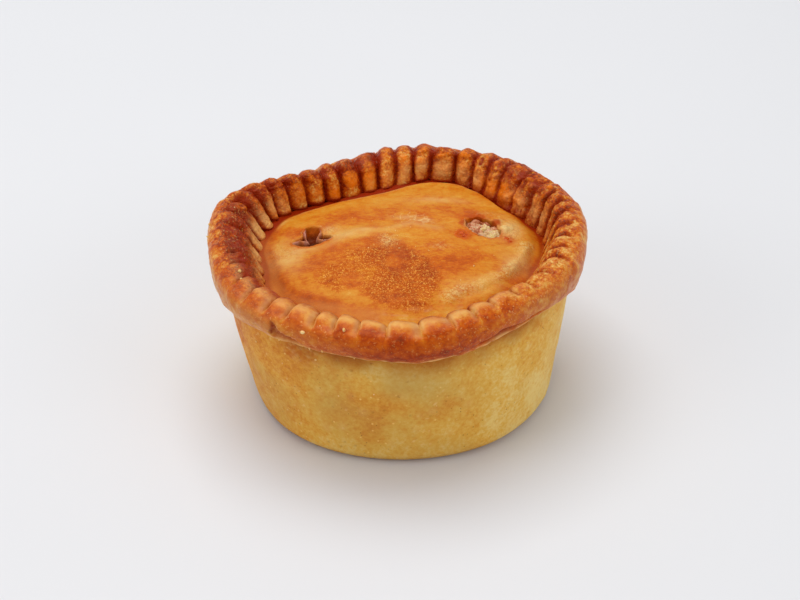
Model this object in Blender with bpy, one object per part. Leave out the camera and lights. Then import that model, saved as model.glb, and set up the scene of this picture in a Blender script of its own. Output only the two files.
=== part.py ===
"""A hand-raised individual pork pie: a solid pastry case, a crimped lid and the pork in its open vent.

The pie stands on z = 0 with its middle over the origin and its front towards -Y. Lengths are in metres.
Azimuths are counted from +X towards +Y, so the front is at -90 degrees: the constants give them in
degrees, and the functions take arrays of them in radians.
"""
import random
from math import cos, pi, radians, sin

import bpy
import numpy as np

# Rim of the pie, seen from above: a circle pressed flat on some sides, each a direction and a distance.
RIM_CIRCLE = 0.0445
RIM_SIDES = ((129, 0.0373), (-53, 0.0412), (-11, 0.0434), (186, 0.0439), (-108, 0.0445), (29, 0.0446))
SIDE_SHARPNESS = 16

# Rim in section: it rolls up from the lip, out to the edge, over the crest and down to the lid.
# A swelling is a height, the azimuth of its middle and its half width in degrees.
CREST_HEIGHT = 0.0386
CREST_SWAY = 0.0014
CREST_LEFT_PEAK = (0.0005, 155, 12)
CREST_FRONT_LIFT = (0.0014, -80, 34)
CREST_IN_FROM_EDGE = 0.0047
CREST_LEFT_SHIFT = (0.0010, 155, 22)
CREST_ABOVE_EDGE = 0.0040
LIP_HEIGHT = 0.0274
LIP_FRONT_LIFT = (0.0033, -95, 45)
LIP_RIGHT_LIFT = (0.0036, -42, 17)
LIP_OVERHANG = 0.0010
INNER_STRAIGHTNESS = 0.8

# Crimps pressed round the rim, a little wider at the front than at the back.
CRIMP_COUNT = 45
CRIMP_FRONT_SPREAD = 0.045
CRIMP_UNEVENNESS = 0.20
CRIMP_DEPTH = 0.0012
CRIMP_SEED = 1402
CRIMP_PROFILE = (1.0, 0.15, 0.0, 0.15)

# Rings of the rim from the lip to the lid: part of the section, turn along it in degrees, share of the crimp.
RIM_STATIONS = (
    ("lower", 90, 0), ("lower", 45, 0), ("outer", 90, 0), ("outer", 62, 0.1), ("outer", 30, 0.5),
    ("inner", 0, 0.8), ("inner", 32, 1), ("inner", 62, 1), ("inner", 90, 0.4))

# Lid inside the rim: a groove, a raised panel set back at the front, and a shallow dome.
# The groove lies higher at the back and the left than at the front.
LID_CIRCLE = 0.0366
LID_SIDES = (
    (118, 0.0284), (157, 0.0313), (37, 0.0329), (-19, 0.0300), (190, 0.0300), (-119, 0.0303),
    (-70, 0.0300))
GROOVE_HEIGHT = 0.0298
GROOVE_BACK_LIFT = (0.0008, 110, 40)
GROOVE_LEFT_LIFT = (0.0018, 160, 16)
PANEL_IN_FROM_GROOVE = 0.0012
PANEL_FRONT_SETBACK = (0.0076, -90, 38)
PANEL_BACK_SETBACK = (0.0008, 70, 30)
PANEL_HEIGHT = 0.0314
DOME_HEIGHT = 0.0342
DOME_SHARES = (0.8, 0.55, 0.25)
LID_UNDERSIDE = 0.0278

# Case: a tapered wall with a rounded foot, solid inside, its top edge tucked up behind the lip.
WALL_IN_FROM_EDGE = 0.0037
WALL_RIGHT_FULLNESS = (0.0012, -45, 25)
WALL_BELLY = 1.3
WALL_TUCK = 0.0015
WALL_THICKNESS = 0.0045
WALL_SHARES = (0.25, 0.5, 0.75)
FOOT_CIRCLE = 0.0355
FOOT_SIDES = ((129, 0.0330), (195, 0.0358))
FOOT_FRONT_FULLNESS = (0.0011, -108, 30)
FOOT_RIGHT_FULLNESS = (0.0015, -52, 24)
FOOT_ROUNDING = 0.0034
FOOT_TURNS = (0, 30, 60, 90)

# Vents through the lid: place, half length, half width, turn in degrees, torn points and their depth.
SLIT_VENT = ((-0.0190, 0.0040), 0.0036, 0.0022, 12, 5, 0.34)
OPEN_VENT = ((0.0188, 0.0080), 0.0041, 0.0034, 20, 3, 0.06)
VENT_FLARE = 1.25
VENT_STEPS = 40
PLUG_OVERREACH = 0.0010

# Pork standing in the open vent, with lumps on its top: share of the vent and drop from the top.
PORK_TOP = 0.0322
PORK_DOME = ((1, 0.0012), (0.88, 0.0004), (0.6, 0), (0.25, 0))
PORK_BEVEL = 0.0004
PORK_STEPS = 24
LUMP_COUNT = 6
LUMP_RISE = 0.0011
LUMP_HALF_WIDTH = 16

# Gaps between neighbours: the usual one, the wider one where sloping faces meet, and the one over the
# case's top edge.
GAP = 0.0003
SEAT_GAP = 0.0005
NOTCH_GAP = 0.0010

# Materials: name, colour and roughness. Edges sharper than this angle stay sharp.
CASE_LOOK = ("case_pastry", (0.72, 0.45, 0.16), 0.62)
LID_LOOK = ("browned_pastry", (0.58, 0.24, 0.06), 0.42)
PORK_LOOK = ("cooked_pork", (0.66, 0.40, 0.30), 0.38)
SHARP_ANGLE = 50


def clear_scene():
    for thing in list(bpy.data.objects):
        bpy.data.objects.remove(thing, do_unlink=True)


def swelling(azimuth, shape):
    """A smooth rise of the given height, middle and half width."""
    height, middle, half_width = shape
    away = (np.degrees(azimuth) - middle + 180) % 360 - 180
    return height * np.exp(-0.5 * (away / half_width) ** 2)


def pressed_circle(azimuth, circle, sides):
    """Radius of a circle that is pressed flat on the given sides."""
    pressure = circle ** -SIDE_SHARPNESS
    for direction, distance in sides:
        facing = np.clip(np.cos(azimuth - radians(direction)), 0, None)
        pressure = pressure + (facing / distance) ** SIDE_SHARPNESS
    return pressure ** (-1 / SIDE_SHARPNESS)


def edge_radius(azimuth):
    return pressed_circle(azimuth, RIM_CIRCLE, RIM_SIDES)


def crest_height(azimuth):
    lift = swelling(azimuth, CREST_LEFT_PEAK) + swelling(azimuth, CREST_FRONT_LIFT)
    return CREST_HEIGHT + CREST_SWAY * np.cos(2 * azimuth) + lift


def lip_height(azimuth):
    return LIP_HEIGHT + swelling(azimuth, LIP_FRONT_LIFT) + swelling(azimuth, LIP_RIGHT_LIFT)


def groove_radius(azimuth):
    return pressed_circle(azimuth, LID_CIRCLE, LID_SIDES)


def groove_height(azimuth):
    return GROOVE_HEIGHT + swelling(azimuth, GROOVE_BACK_LIFT) + swelling(azimuth, GROOVE_LEFT_LIFT)


def wall_radius(azimuth):
    return edge_radius(azimuth) - WALL_IN_FROM_EDGE + swelling(azimuth, WALL_RIGHT_FULLNESS)


def foot_radius(azimuth):
    fullness = swelling(azimuth, FOOT_FRONT_FULLNESS) + swelling(azimuth, FOOT_RIGHT_FULLNESS)
    return pressed_circle(azimuth, FOOT_CIRCLE, FOOT_SIDES) + fullness


def crimp_azimuths():
    """Azimuths all round the rim, one for each step of each crimp, valley first."""
    chance = random.Random(CRIMP_SEED)
    widths = []
    for number in range(CRIMP_COUNT):
        middle = 2 * pi * (number + 0.5) / CRIMP_COUNT
        even = 1 - CRIMP_FRONT_SPREAD * sin(middle)
        widths.append(even * (1 + chance.uniform(-CRIMP_UNEVENNESS, CRIMP_UNEVENNESS)))
    share = 2 * pi / sum(widths)
    steps = len(CRIMP_PROFILE)
    azimuths = []
    start = 0.0
    for width in widths:
        azimuths += [start + share * width * step / steps for step in range(steps)]
        start += share * width
    return np.array(azimuths)


def pie_middle(azimuth):
    """Middle of the rim's bounding box, which is put over the origin."""
    radius = edge_radius(azimuth)
    across = radius * np.cos(azimuth)
    along = radius * np.sin(azimuth)
    return np.array([(across.max() + across.min()) / 2, (along.max() + along.min()) / 2])


def ring(azimuth, radius, height, middle):
    """Points of one level turn round the pie."""
    across = radius * np.cos(azimuth) - middle[0]
    along = radius * np.sin(azimuth) - middle[1]
    return np.stack([across, along, height + 0 * azimuth], 1)


def lofted_mesh(name, rings):
    """A closed mesh through the rings, from the lowest outwards; their counts may halve or double."""
    points = np.concatenate(rings + [[line.mean(0)] for line in (rings[0], rings[-1])])
    counts = [len(line) for line in rings]
    starts = [sum(counts[:index]) for index in range(len(counts))]
    faces = []
    for index in range(len(rings) - 1):
        faces += band_faces(starts[index], counts[index], starts[index + 1], counts[index + 1])
    bottom_hub = len(points) - 2
    top_hub = len(points) - 1
    for step in range(counts[0]):
        faces.append((bottom_hub, (step + 1) % counts[0], step))
    for step in range(counts[-1]):
        faces.append((top_hub, starts[-1] + step, starts[-1] + (step + 1) % counts[-1]))
    mesh = bpy.data.meshes.new(name)
    mesh.from_pydata(points.tolist(), [], faces)
    return mesh


def band_faces(first, first_count, second, second_count):
    """Faces that join one ring to the next, both counted the same way round."""
    faces = []
    for step in range(min(first_count, second_count)):
        after = (step + 1) % min(first_count, second_count)
        if first_count == second_count:
            faces.append((first + step, first + after, second + after, second + step))
        elif first_count < second_count:
            fine = [second + (2 * step + extra) % second_count for extra in range(3)]
            faces.append((first + step, fine[1], fine[0]))
            faces.append((first + step, first + after, fine[1]))
            faces.append((first + after, fine[2], fine[1]))
        else:
            fine = [first + (2 * step + extra) % first_count for extra in range(3)]
            faces.append((second + step, fine[0], fine[1]))
            faces.append((second + step, fine[1], second + after))
            faces.append((second + after, fine[1], fine[2]))
    return faces


def add_piece(mesh, look):
    name, colour, roughness = look
    material = bpy.data.materials.new(name)
    material.use_nodes = True
    shader = material.node_tree.nodes["Principled BSDF"]
    shader.inputs["Base Color"].default_value = (*colour, 1)
    shader.inputs["Roughness"].default_value = roughness
    shader.inputs["Metallic"].default_value = 0
    mesh.materials.append(material)
    mesh.shade_smooth()
    mesh.set_sharp_from_angle(angle=radians(SHARP_ANGLE))
    piece = bpy.data.objects.new(mesh.name, mesh)
    bpy.context.collection.objects.link(piece)
    return piece


def pastry_case(azimuth, middle):
    wall = wall_radius(azimuth)
    foot = foot_radius(azimuth)
    edge_height = lip_height(azimuth) + WALL_TUCK
    rings = []
    for turn in FOOT_TURNS:
        radius = foot - FOOT_ROUNDING * (1 - sin(radians(turn)))
        rings.append(ring(azimuth, radius, FOOT_ROUNDING * (1 - cos(radians(turn))), middle))
    for share in WALL_SHARES:
        radius = wall + (foot - wall) * (1 - share) ** WALL_BELLY
        rings.append(ring(azimuth, radius, FOOT_ROUNDING + (edge_height - FOOT_ROUNDING) * share, middle))
    rings.append(ring(azimuth, wall, edge_height, middle))
    seat = ring(azimuth, wall - WALL_THICKNESS, LID_UNDERSIDE - SEAT_GAP, middle)
    rings += [seat, seat * (0.5, 0.5, 1)]
    return add_piece(lofted_mesh("pastry_case", rings), CASE_LOOK)


def rim_ring(azimuth, part, turn, crimp_share, middle):
    """One ring of the rim. In each part the turn grows from 0 to 90 degrees on the way down."""
    edge = edge_radius(azimuth)
    crest_radius = edge - CREST_IN_FROM_EDGE + swelling(azimuth, CREST_LEFT_SHIFT)
    crest = crest_height(azimuth)
    edge_height = crest - CREST_ABOVE_EDGE
    swing = sin(radians(turn))
    fall = 1 - cos(radians(turn))
    if part == "inner":
        straight = INNER_STRAIGHTNESS * swing ** 2
        inwards = swing + (turn / 90 - swing) * straight
        downwards = fall + (turn / 90 - fall) * straight
        radius = crest_radius - (crest_radius - groove_radius(azimuth)) * inwards
        height = crest - (crest - groove_height(azimuth)) * downwards
        outward, upward = -swing, 1 - fall
    elif part == "outer":
        radius = crest_radius + (edge - crest_radius) * swing
        height = crest - CREST_ABOVE_EDGE * fall
        outward, upward = swing, 1 - fall
    else:
        radius = edge - (edge - wall_radius(azimuth) - LIP_OVERHANG) * fall
        height = edge_height - (edge_height - lip_height(azimuth)) * swing
        outward, upward = 1 - fall, -swing
    valley = np.resize(CRIMP_PROFILE, len(azimuth))
    press = CRIMP_DEPTH * crimp_share * valley
    return ring(azimuth, radius - press * outward, height - press * upward, middle)


def lid_top_rings(azimuth, middle):
    """Rings of the lid from the edge of its panel inwards."""
    setback = swelling(azimuth, PANEL_FRONT_SETBACK) + swelling(azimuth, PANEL_BACK_SETBACK)
    panel = groove_radius(azimuth) - PANEL_IN_FROM_GROOVE - setback
    rings = [ring(azimuth, panel, PANEL_HEIGHT, middle)]
    for share in DOME_SHARES:
        height = PANEL_HEIGHT + (DOME_HEIGHT - PANEL_HEIGHT) * (1 - share ** 2)
        rings.append(ring(azimuth, panel * share, height, middle))
    rings[2:] = [line[::2] for line in rings[2:]]
    return rings


def crimped_lid(azimuth, middle):
    coarse = azimuth[::2]
    wall = wall_radius(coarse)
    lip = lip_height(coarse)
    under = ring(coarse, wall - WALL_THICKNESS, LID_UNDERSIDE, middle)
    rings = [under * (0.5, 0.5, 1), under]
    rings.append(ring(coarse, wall + SEAT_GAP, lip + WALL_TUCK + NOTCH_GAP, middle))
    rings.append(ring(coarse, wall + SEAT_GAP, lip + GAP, middle))
    rings += [rim_ring(azimuth, part, turn, share, middle) for part, turn, share in RIM_STATIONS]
    rings += lid_top_rings(coarse, middle)
    lid = add_piece(lofted_mesh("crimped_lid", rings), LID_LOOK)
    for name, vent in (("slit_vent", SLIT_VENT), ("open_vent", OPEN_VENT)):
        cut = lid.modifiers.new(name, "BOOLEAN")
        cut.operation = "DIFFERENCE"
        cut.solver = "EXACT"
        cut.object = vent_plug(name, vent, middle)
    return lid


def oval(place, half_length, half_width, turn, bearings, height, middle):
    """Points of a turned oval; its half sizes may vary with the bearing."""
    reach = half_length * np.cos(bearings)
    side = half_width * np.sin(bearings)
    across = place[0] - middle[0] + reach * cos(radians(turn)) - side * sin(radians(turn))
    along = place[1] - middle[1] + reach * sin(radians(turn)) + side * cos(radians(turn))
    return np.stack([across, along, height + 0 * bearings], 1)


def vent_plug(name, vent, middle):
    """The cutter of one vent: a plug with torn points that flares upwards through the lid."""
    place, half_length, half_width, turn, points, depth = vent
    bearings = np.arange(VENT_STEPS) * 2 * pi / VENT_STEPS
    torn = 1 + depth * np.cos(points * bearings)
    rings = []
    for flare, height in ((1, LID_UNDERSIDE - PLUG_OVERREACH), (VENT_FLARE, DOME_HEIGHT + PLUG_OVERREACH)):
        length = half_length * torn * flare
        width = half_width * torn * flare
        rings.append(oval(place, length, width, turn, bearings, height, middle))
    plug = bpy.data.objects.new(name, lofted_mesh(name, rings))
    bpy.context.collection.objects.link(plug)
    plug.hide_render = True
    plug.display_type = "WIRE"
    return plug


def pork_filling(middle):
    """A stub of pork that stands on the case in the open vent."""
    place, half_length, half_width, turn, _, depth = OPEN_VENT
    length = half_length * (1 - depth) - GAP
    width = half_width * (1 - depth) - GAP
    bearings = np.arange(PORK_STEPS) * 2 * pi / PORK_STEPS
    chance = random.Random(CRIMP_SEED)
    rise = 0 * bearings
    for lump in range(LUMP_COUNT):
        shape = (LUMP_RISE * chance.uniform(0.5, 1), 360 * lump / LUMP_COUNT, LUMP_HALF_WIDTH)
        rise = np.maximum(rise, swelling(bearings, shape))
    floor = LID_UNDERSIDE - SEAT_GAP + GAP
    bottom = oval(place, length, width, turn, bearings, floor, middle)
    inset = oval(place, length - PORK_BEVEL, width - PORK_BEVEL, turn, bearings, floor, middle)
    rings = [inset, bottom + (0, 0, PORK_BEVEL)]
    for share, drop in PORK_DOME:
        height = PORK_TOP - drop + rise * (share < 1)
        rings.append(oval(place, length * share, width * share, turn, bearings, height, middle))
    return add_piece(lofted_mesh("pork_filling", rings), PORK_LOOK)


def main():
    clear_scene()
    azimuth = crimp_azimuths()
    middle = pie_middle(azimuth)
    pastry_case(azimuth[::2], middle)
    crimped_lid(azimuth, middle)
    pork_filling(middle)


main()
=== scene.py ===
"""A hand-raised pork pie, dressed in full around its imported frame.

Lengths are in metres, or in millimetres where a note says so. The origin is under the middle of the
pie, +Z is up and the front faces -Y.
Azimuths are counted from +X towards +Y: constants give them in degrees, functions take radians.
The outline and the sections repeat the named values of the part, with the lip, the edge of the lid's
raised panel, the crimps and the vents worked out more finely here.
"""
import random
from functools import partial
from math import cos, pi, radians, sin

import bpy
import numpy as np
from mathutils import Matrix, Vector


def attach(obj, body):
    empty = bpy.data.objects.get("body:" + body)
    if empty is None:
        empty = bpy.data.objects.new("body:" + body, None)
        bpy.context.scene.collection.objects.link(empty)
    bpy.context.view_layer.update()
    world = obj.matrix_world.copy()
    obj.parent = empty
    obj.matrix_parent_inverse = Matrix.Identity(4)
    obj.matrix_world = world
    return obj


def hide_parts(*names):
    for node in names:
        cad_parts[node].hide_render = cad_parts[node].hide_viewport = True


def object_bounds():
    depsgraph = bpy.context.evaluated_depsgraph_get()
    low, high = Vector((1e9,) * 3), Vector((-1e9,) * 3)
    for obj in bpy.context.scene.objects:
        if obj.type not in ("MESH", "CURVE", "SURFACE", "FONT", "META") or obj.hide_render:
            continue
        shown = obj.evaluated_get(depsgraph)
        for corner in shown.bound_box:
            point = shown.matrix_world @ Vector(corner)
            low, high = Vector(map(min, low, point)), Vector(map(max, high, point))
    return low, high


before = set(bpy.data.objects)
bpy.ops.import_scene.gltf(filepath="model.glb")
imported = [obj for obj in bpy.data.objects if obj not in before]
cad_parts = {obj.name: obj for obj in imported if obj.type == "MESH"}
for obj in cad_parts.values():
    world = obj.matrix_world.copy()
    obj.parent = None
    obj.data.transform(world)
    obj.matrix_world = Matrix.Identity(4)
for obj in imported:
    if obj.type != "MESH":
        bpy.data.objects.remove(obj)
CAD_LOW, CAD_HIGH = [np.array(corner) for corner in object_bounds()]

MM = 0.001

# Outline of the pie, seen from above, and of the lid inside the rim.
RIM_CIRCLE = 0.0445
RIM_SIDES = ((129, 0.0373), (-53, 0.0412), (-11, 0.0434), (186, 0.0439), (-108, 0.0445), (29, 0.0446))
LID_CIRCLE = 0.0366
LID_SIDES = (
    (118, 0.0284), (157, 0.0313), (37, 0.0329), (-19, 0.03), (190, 0.03), (-119, 0.0303),
    (-70, 0.03))
FOOT_CIRCLE = 0.0355
FOOT_SIDES = ((129, 0.033), (195, 0.0358))
SIDE_SHARPNESS = 16

# Section of the rim. A swelling is a height, the azimuth of its middle and its half width in degrees.
CREST_HEIGHT = 0.0386
CREST_SWAY = 0.0014
CREST_LEFT_PEAK = (0.0005, 155, 12)
CREST_FRONT_LIFT = (0.0014, -80, 34)
CREST_LEFT_SHIFT = (0.001, 155, 22)
CREST_IN_FROM_EDGE = 0.0047
CREST_ABOVE_EDGE = 0.004
LIP_HEIGHT = 0.0274
LIP_FRONT_LIFT = (0.0033, -95, 45)
LIP_RIGHT_LIFT = (0.004, -36, 15)
LIP_LEFT_LIFT = (0.0015, -138, 13)
LIP_OVERHANG = 0.001

# Section of the lid and of the case.
GROOVE_HEIGHT = 0.0298
GROOVE_BACK_LIFT = (0.0008, 110, 40)
GROOVE_LEFT_LIFT = (0.0018, 160, 16)
PANEL_IN_FROM_GROOVE = 0.0012
PANEL_FRONT_SETBACK = (0.0076, -90, 38)
PANEL_BACK_SETBACK = (0.0008, 70, 30)
PANEL_HEIGHT = 0.0314
DOME_HEIGHT = 0.0342
LID_UNDERSIDE = 0.0279
WALL_IN_FROM_EDGE = 0.0037
WALL_RIGHT_FULLNESS = (0.0012, -45, 25)
WALL_BELLY = 1.3
WALL_TUCK = 0.0014
FOOT_FRONT_FULLNESS = (0.0011, -108, 30)
FOOT_RIGHT_FULLNESS = (0.0015, -52, 24)
FOOT_ROUNDING = 0.0034

# The hidden top of the case, under the lid: how far in its edge lies and how much narrower, and its height.
CASE_TOP_INSET = 4.5 * MM
CASE_TOP_SHARE = 0.98
CASE_TOP = LID_UNDERSIDE - 0.2 * MM

# How straight the inner slope of the rim is.
INNER_STRAIGHTNESS = 0.8

# Crimps: their number and widths as in the part.
CRIMP_COUNT = 45
CRIMP_FRONT_SPREAD = 0.045
CRIMP_UNEVENNESS = 0.2
CRIMP_SEED = 1402

# Steps of the outline and of the meshes; the foot's rounding goes by degrees.
OUTLINE_STEPS = 2880
CRIMP_STEPS = 20
LOWER_STEPS = 20
OUTER_STEPS = 25
INNER_STEPS = 45
TIP_STEPS = 9
WALL_COLUMNS = 860
WALL_ROWS = 96
FOOT_TURN = 11
LID_COLUMNS = 700
LID_ROWS = 112
VENT_COLUMNS = 260
VENT_ROWS = 90

# The plain lid runs on under the crimps' tips, and is sunk under the finely modelled vents.
LID_UNDER_CRIMPS = 1.3 * MM
VENT_SINK = 3.6 * MM

# The sunk part of the lid begins this far inside a vent's patch, and is fully sunk from the second value.
VENT_SEAM_OUTER = 0.4 * MM
VENT_SEAM_INNER = 1.1 * MM

# A vent's patch: its height over the plain lid, its underside, and the share of its reach with full relief.
VENT_OVER_LID = 0.015 * MM
VENT_UNDERSIDE = LID_UNDERSIDE + MM
VENT_FULL_SHARE = 0.86

# Vents: place, and half size of the patch of lid that is modelled finely round each.
SLIT_PLACE = (-0.0194, 0.004)
SLIT_REACH = 0.0076
OPEN_PLACE = (0.019, 0.0085)
OPEN_REACH = 0.0085


# ---------------------------------------------------------------- chance and curves

# The crust's chance fields are laid out on points in millimetres.

# Usual large primes and shifts that mix whole numbers into even chance values.
AXIS_PRIMES = (73856093, 19349663, 83492791)
SEED_PRIME = 2654435761
MIXING_STEPS = ((15, 2246822519), (13, 3266489917), (16, 668265263))
LOW_BITS = 0xFFFFFFFF
KEPT_RANGE = 0x1000000


def hashed(place, seed):
    """Even chance values from 0 to 1, one for each row of three whole numbers."""
    whole = place.astype(np.int64).astype(np.uint64)
    mixed = np.uint64((seed * SEED_PRIME) & LOW_BITS)
    for axis, prime in enumerate(AXIS_PRIMES):
        mixed = mixed ^ (whole[..., axis] * np.uint64(prime))
    mixed = mixed & np.uint64(LOW_BITS)
    for shift, factor in MIXING_STEPS:
        mixed = ((mixed ^ (mixed >> np.uint64(shift))) * np.uint64(factor)) & np.uint64(LOW_BITS)
    return (mixed >> np.uint64(8)).astype(float) / KEPT_RANGE


def waves(points, size, seed):
    """Smooth chance field from -1 to 1 with the given feature size."""
    scaled = points / size
    low = np.floor(scaled)
    part = scaled - low
    part = part * part * (3 - 2 * part)
    total = 0
    for corner in np.ndindex(2, 2, 2):
        weight = 1
        for axis in range(3):
            weight = weight * (part[..., axis] if corner[axis] else 1 - part[..., axis])
        total = total + weight * hashed(low + corner, seed)
    return 2 * total - 1


# Step from one layer's seed to the next, and what brings the sum of the layers back to about 1.
LAYER_SEED_STEP = 17
LAYERS_RANGE = 1.6


def rough(points, size, seed, layers=3):
    """Smooth chance field with finer layers on top, about -1 to 1."""
    total = 0
    for layer in range(layers):
        total = total + waves(points, size / 2 ** layer, seed + LAYER_SEED_STEP * layer) / 2 ** layer
    return total / LAYERS_RANGE


def bubbles(points, size, seed):
    """Distance to the nearest of some scattered centres, in cell sizes."""
    scaled = points / size
    low = np.floor(scaled)
    nearest = np.full(scaled.shape[:-1], 9.0)
    for corner in np.ndindex(3, 3, 3):
        cell = low + corner - 1
        away = 0
        for axis in range(3):
            centre = cell[..., axis] + hashed(cell, seed + axis)
            away = away + (centre - scaled[..., axis]) ** 2
        nearest = np.minimum(nearest, away)
    return np.sqrt(nearest)


def rise(value, start, end):
    """Smooth step from 0 at start to 1 at end."""
    share = np.clip((value - start) / (end - start), 0, 1)
    return share * share * (3 - 2 * share)


def fade(distance, power=2):
    """1 at no distance, falling to 0 on both sides; with a higher power it stays high for longer."""
    return np.exp(-np.abs(distance) ** power)


def hump(value, middle, half_width):
    """Bell curve with 1 at its middle."""
    return np.exp(-0.5 * ((value - middle) / half_width) ** 2)


def turn_between(azimuth, degrees_to):
    """Degrees from one azimuth to another, the short way round."""
    return (np.degrees(azimuth) - degrees_to + 180) % 360 - 180


def around(azimuth, middle, half_width):
    """Bell curve over an azimuth; its middle and half width are in degrees."""
    return np.exp(-0.5 * (turn_between(azimuth, middle) / half_width) ** 2)


def span(azimuth, first, last, soft=6):
    """1 between two azimuths, counted upwards from the first, with soft ends."""
    middle = (first + last) / 2
    half = (last - first) / 2
    return rise(half - np.abs(turn_between(azimuth, middle)), -soft / 2, soft / 2)


def swelling(azimuth, *shapes):
    """Sum of some heights, each greatest at one azimuth and fading away to both sides."""
    return sum(height * around(azimuth, middle, half_width) for height, middle, half_width in shapes)


def line_distance(x, y, line):
    """Distance from the points to a line through the given corners."""
    nearest = np.full(np.shape(x), 1.0)
    for (x1, y1), (x2, y2) in zip(line[:-1], line[1:]):
        length_2 = (x2 - x1) ** 2 + (y2 - y1) ** 2
        share = np.clip(((x - x1) * (x2 - x1) + (y - y1) * (y2 - y1)) / length_2, 0, 1)
        nearest = np.minimum(nearest, np.hypot(x - x1 - share * (x2 - x1), y - y1 - share * (y2 - y1)))
    return nearest


# ---------------------------------------------------------------- outline of the pie

def pressed_circle(azimuth, circle, sides):
    """Radius of a circle that is softly flattened by straight sides: azimuth and distance of each."""
    pressure = circle ** -SIDE_SHARPNESS
    for direction, distance in sides:
        facing = np.clip(np.cos(azimuth - radians(direction)), 0, None)
        pressure = pressure + (facing / distance) ** SIDE_SHARPNESS
    return pressure ** (-1 / SIDE_SHARPNESS)


def edge_radius(azimuth):
    return pressed_circle(azimuth, RIM_CIRCLE, RIM_SIDES)


def crest_height(azimuth):
    lift = swelling(azimuth, CREST_LEFT_PEAK, CREST_FRONT_LIFT)
    return CREST_HEIGHT + CREST_SWAY * np.cos(2 * azimuth) + lift


def lip_height(azimuth):
    return LIP_HEIGHT + swelling(azimuth, LIP_FRONT_LIFT, LIP_RIGHT_LIFT, LIP_LEFT_LIFT)


def groove_radius(azimuth):
    return pressed_circle(azimuth, LID_CIRCLE, LID_SIDES)


def groove_height(azimuth):
    return GROOVE_HEIGHT + swelling(azimuth, GROOVE_BACK_LIFT, GROOVE_LEFT_LIFT)


def panel_radius(azimuth):
    setback = swelling(azimuth, PANEL_FRONT_SETBACK, PANEL_BACK_SETBACK)
    return groove_radius(azimuth) - PANEL_IN_FROM_GROOVE - setback


def wall_radius(azimuth):
    return edge_radius(azimuth) - WALL_IN_FROM_EDGE + swelling(azimuth, WALL_RIGHT_FULLNESS)


def foot_radius(azimuth):
    fullness = swelling(azimuth, FOOT_FRONT_FULLNESS, FOOT_RIGHT_FULLNESS)
    return pressed_circle(azimuth, FOOT_CIRCLE, FOOT_SIDES) + fullness


def pie_middle():
    """Middle of the box round the outline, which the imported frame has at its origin."""
    azimuth = np.arange(OUTLINE_STEPS) * 2 * pi / OUTLINE_STEPS
    across = edge_radius(azimuth) * np.cos(azimuth)
    along = edge_radius(azimuth) * np.sin(azimuth)
    return np.array([(across.max() + across.min()) / 2, (along.max() + along.min()) / 2])


MIDDLE = pie_middle()


def placed(azimuth, radius, height):
    """Points at the given azimuths, radii and heights."""
    across = radius * np.cos(azimuth) - MIDDLE[0]
    along = radius * np.sin(azimuth) - MIDDLE[1]
    return np.stack([across, along, height + 0 * azimuth], -1)


def crimp_starts():
    """Azimuths of the valleys between crimps, in radians, with the first one again at the end."""
    chance = random.Random(CRIMP_SEED)
    widths = []
    for number in range(CRIMP_COUNT):
        middle = 2 * pi * (number + 0.5) / CRIMP_COUNT
        even = 1 - CRIMP_FRONT_SPREAD * sin(middle)
        widths.append(even * (1 + chance.uniform(-CRIMP_UNEVENNESS, CRIMP_UNEVENNESS)))
    return np.concatenate([[0], np.cumsum(widths)]) * 2 * pi / sum(widths)


# ---------------------------------------------------------------- meshes

def grid_faces(rows, columns):
    """Quads of a grid whose columns close round, facing outwards when rows climb and columns turn left."""
    number = np.arange(rows * columns).reshape(rows, columns)
    after = np.roll(number, -1, 1)
    quads = np.stack([number[:-1], after[:-1], after[1:], number[1:]], -1)
    return quads.reshape(-1, 4).tolist()


def new_piece(name, points, faces, material, marks):
    """An object with a material and named float values on its points."""
    mesh = bpy.data.meshes.new(name)
    mesh.from_pydata(np.asarray(points).reshape(-1, 3).tolist(), [], faces)
    for mark, values in marks.items():
        layer = mesh.attributes.new(mark, "FLOAT", "POINT")
        layer.data.foreach_set("value", np.asarray(values, dtype=np.float32).ravel())
    mesh.materials.append(material)
    mesh.shade_smooth()
    piece = bpy.data.objects.new(name, mesh)
    bpy.context.collection.objects.link(piece)
    return piece


def capped_grid(name, grid, material, marks):
    """A closed piece: the grid from its lowest ring to its last, with a hub at each end."""
    rows, columns = grid.shape[:2]
    faces = grid_faces(rows, columns)
    first_hub = rows * columns
    last_hub = first_hub + 1
    last = (rows - 1) * columns
    for step in range(columns):
        after = (step + 1) % columns
        faces.append((first_hub, after, step))
        faces.append((last_hub, last + step, last + after))
    points = np.concatenate([grid.reshape(-1, 3), grid[:1].mean(1), grid[-1:].mean(1)])
    full = {}
    for mark, values in marks.items():
        values = np.broadcast_to(values, (rows, columns))
        full[mark] = np.concatenate([values.ravel(), [values[0].mean(), values[-1].mean()]])
    return new_piece(name, points, faces, material, full)


def looped_grid(name, grid, material, marks):
    """A closed piece like a tyre: both the rows and the columns of the grid close."""
    rows, columns = grid.shape[:2]
    faces = grid_faces(rows, columns)
    last = (rows - 1) * columns
    for step in range(columns):
        after = (step + 1) % columns
        faces.append((last + step, last + after, after, step))
    full = {mark: np.broadcast_to(values, (rows, columns)) for mark, values in marks.items()}
    return new_piece(name, grid, faces, material, full)


def grid_normals(grid):
    """Outward directions on a grid whose columns close round."""
    along = np.gradient(grid, axis=0)
    across = np.roll(grid, -1, 1) - np.roll(grid, 1, 1)
    normal = np.cross(across, along)
    return normal / np.maximum(np.linalg.norm(normal, axis=-1, keepdims=True), 1e-12)


# ---------------------------------------------------------------- materials

def tone(red, green, blue):
    """Linear colour from the usual 0 to 255 scale."""
    shares = [value / 255 for value in (red, green, blue)]
    linear = [s / 12.92 if s <= 0.04045 else ((s + 0.055) / 1.055) ** 2.4 for s in shares]
    return (*linear, 1)


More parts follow.
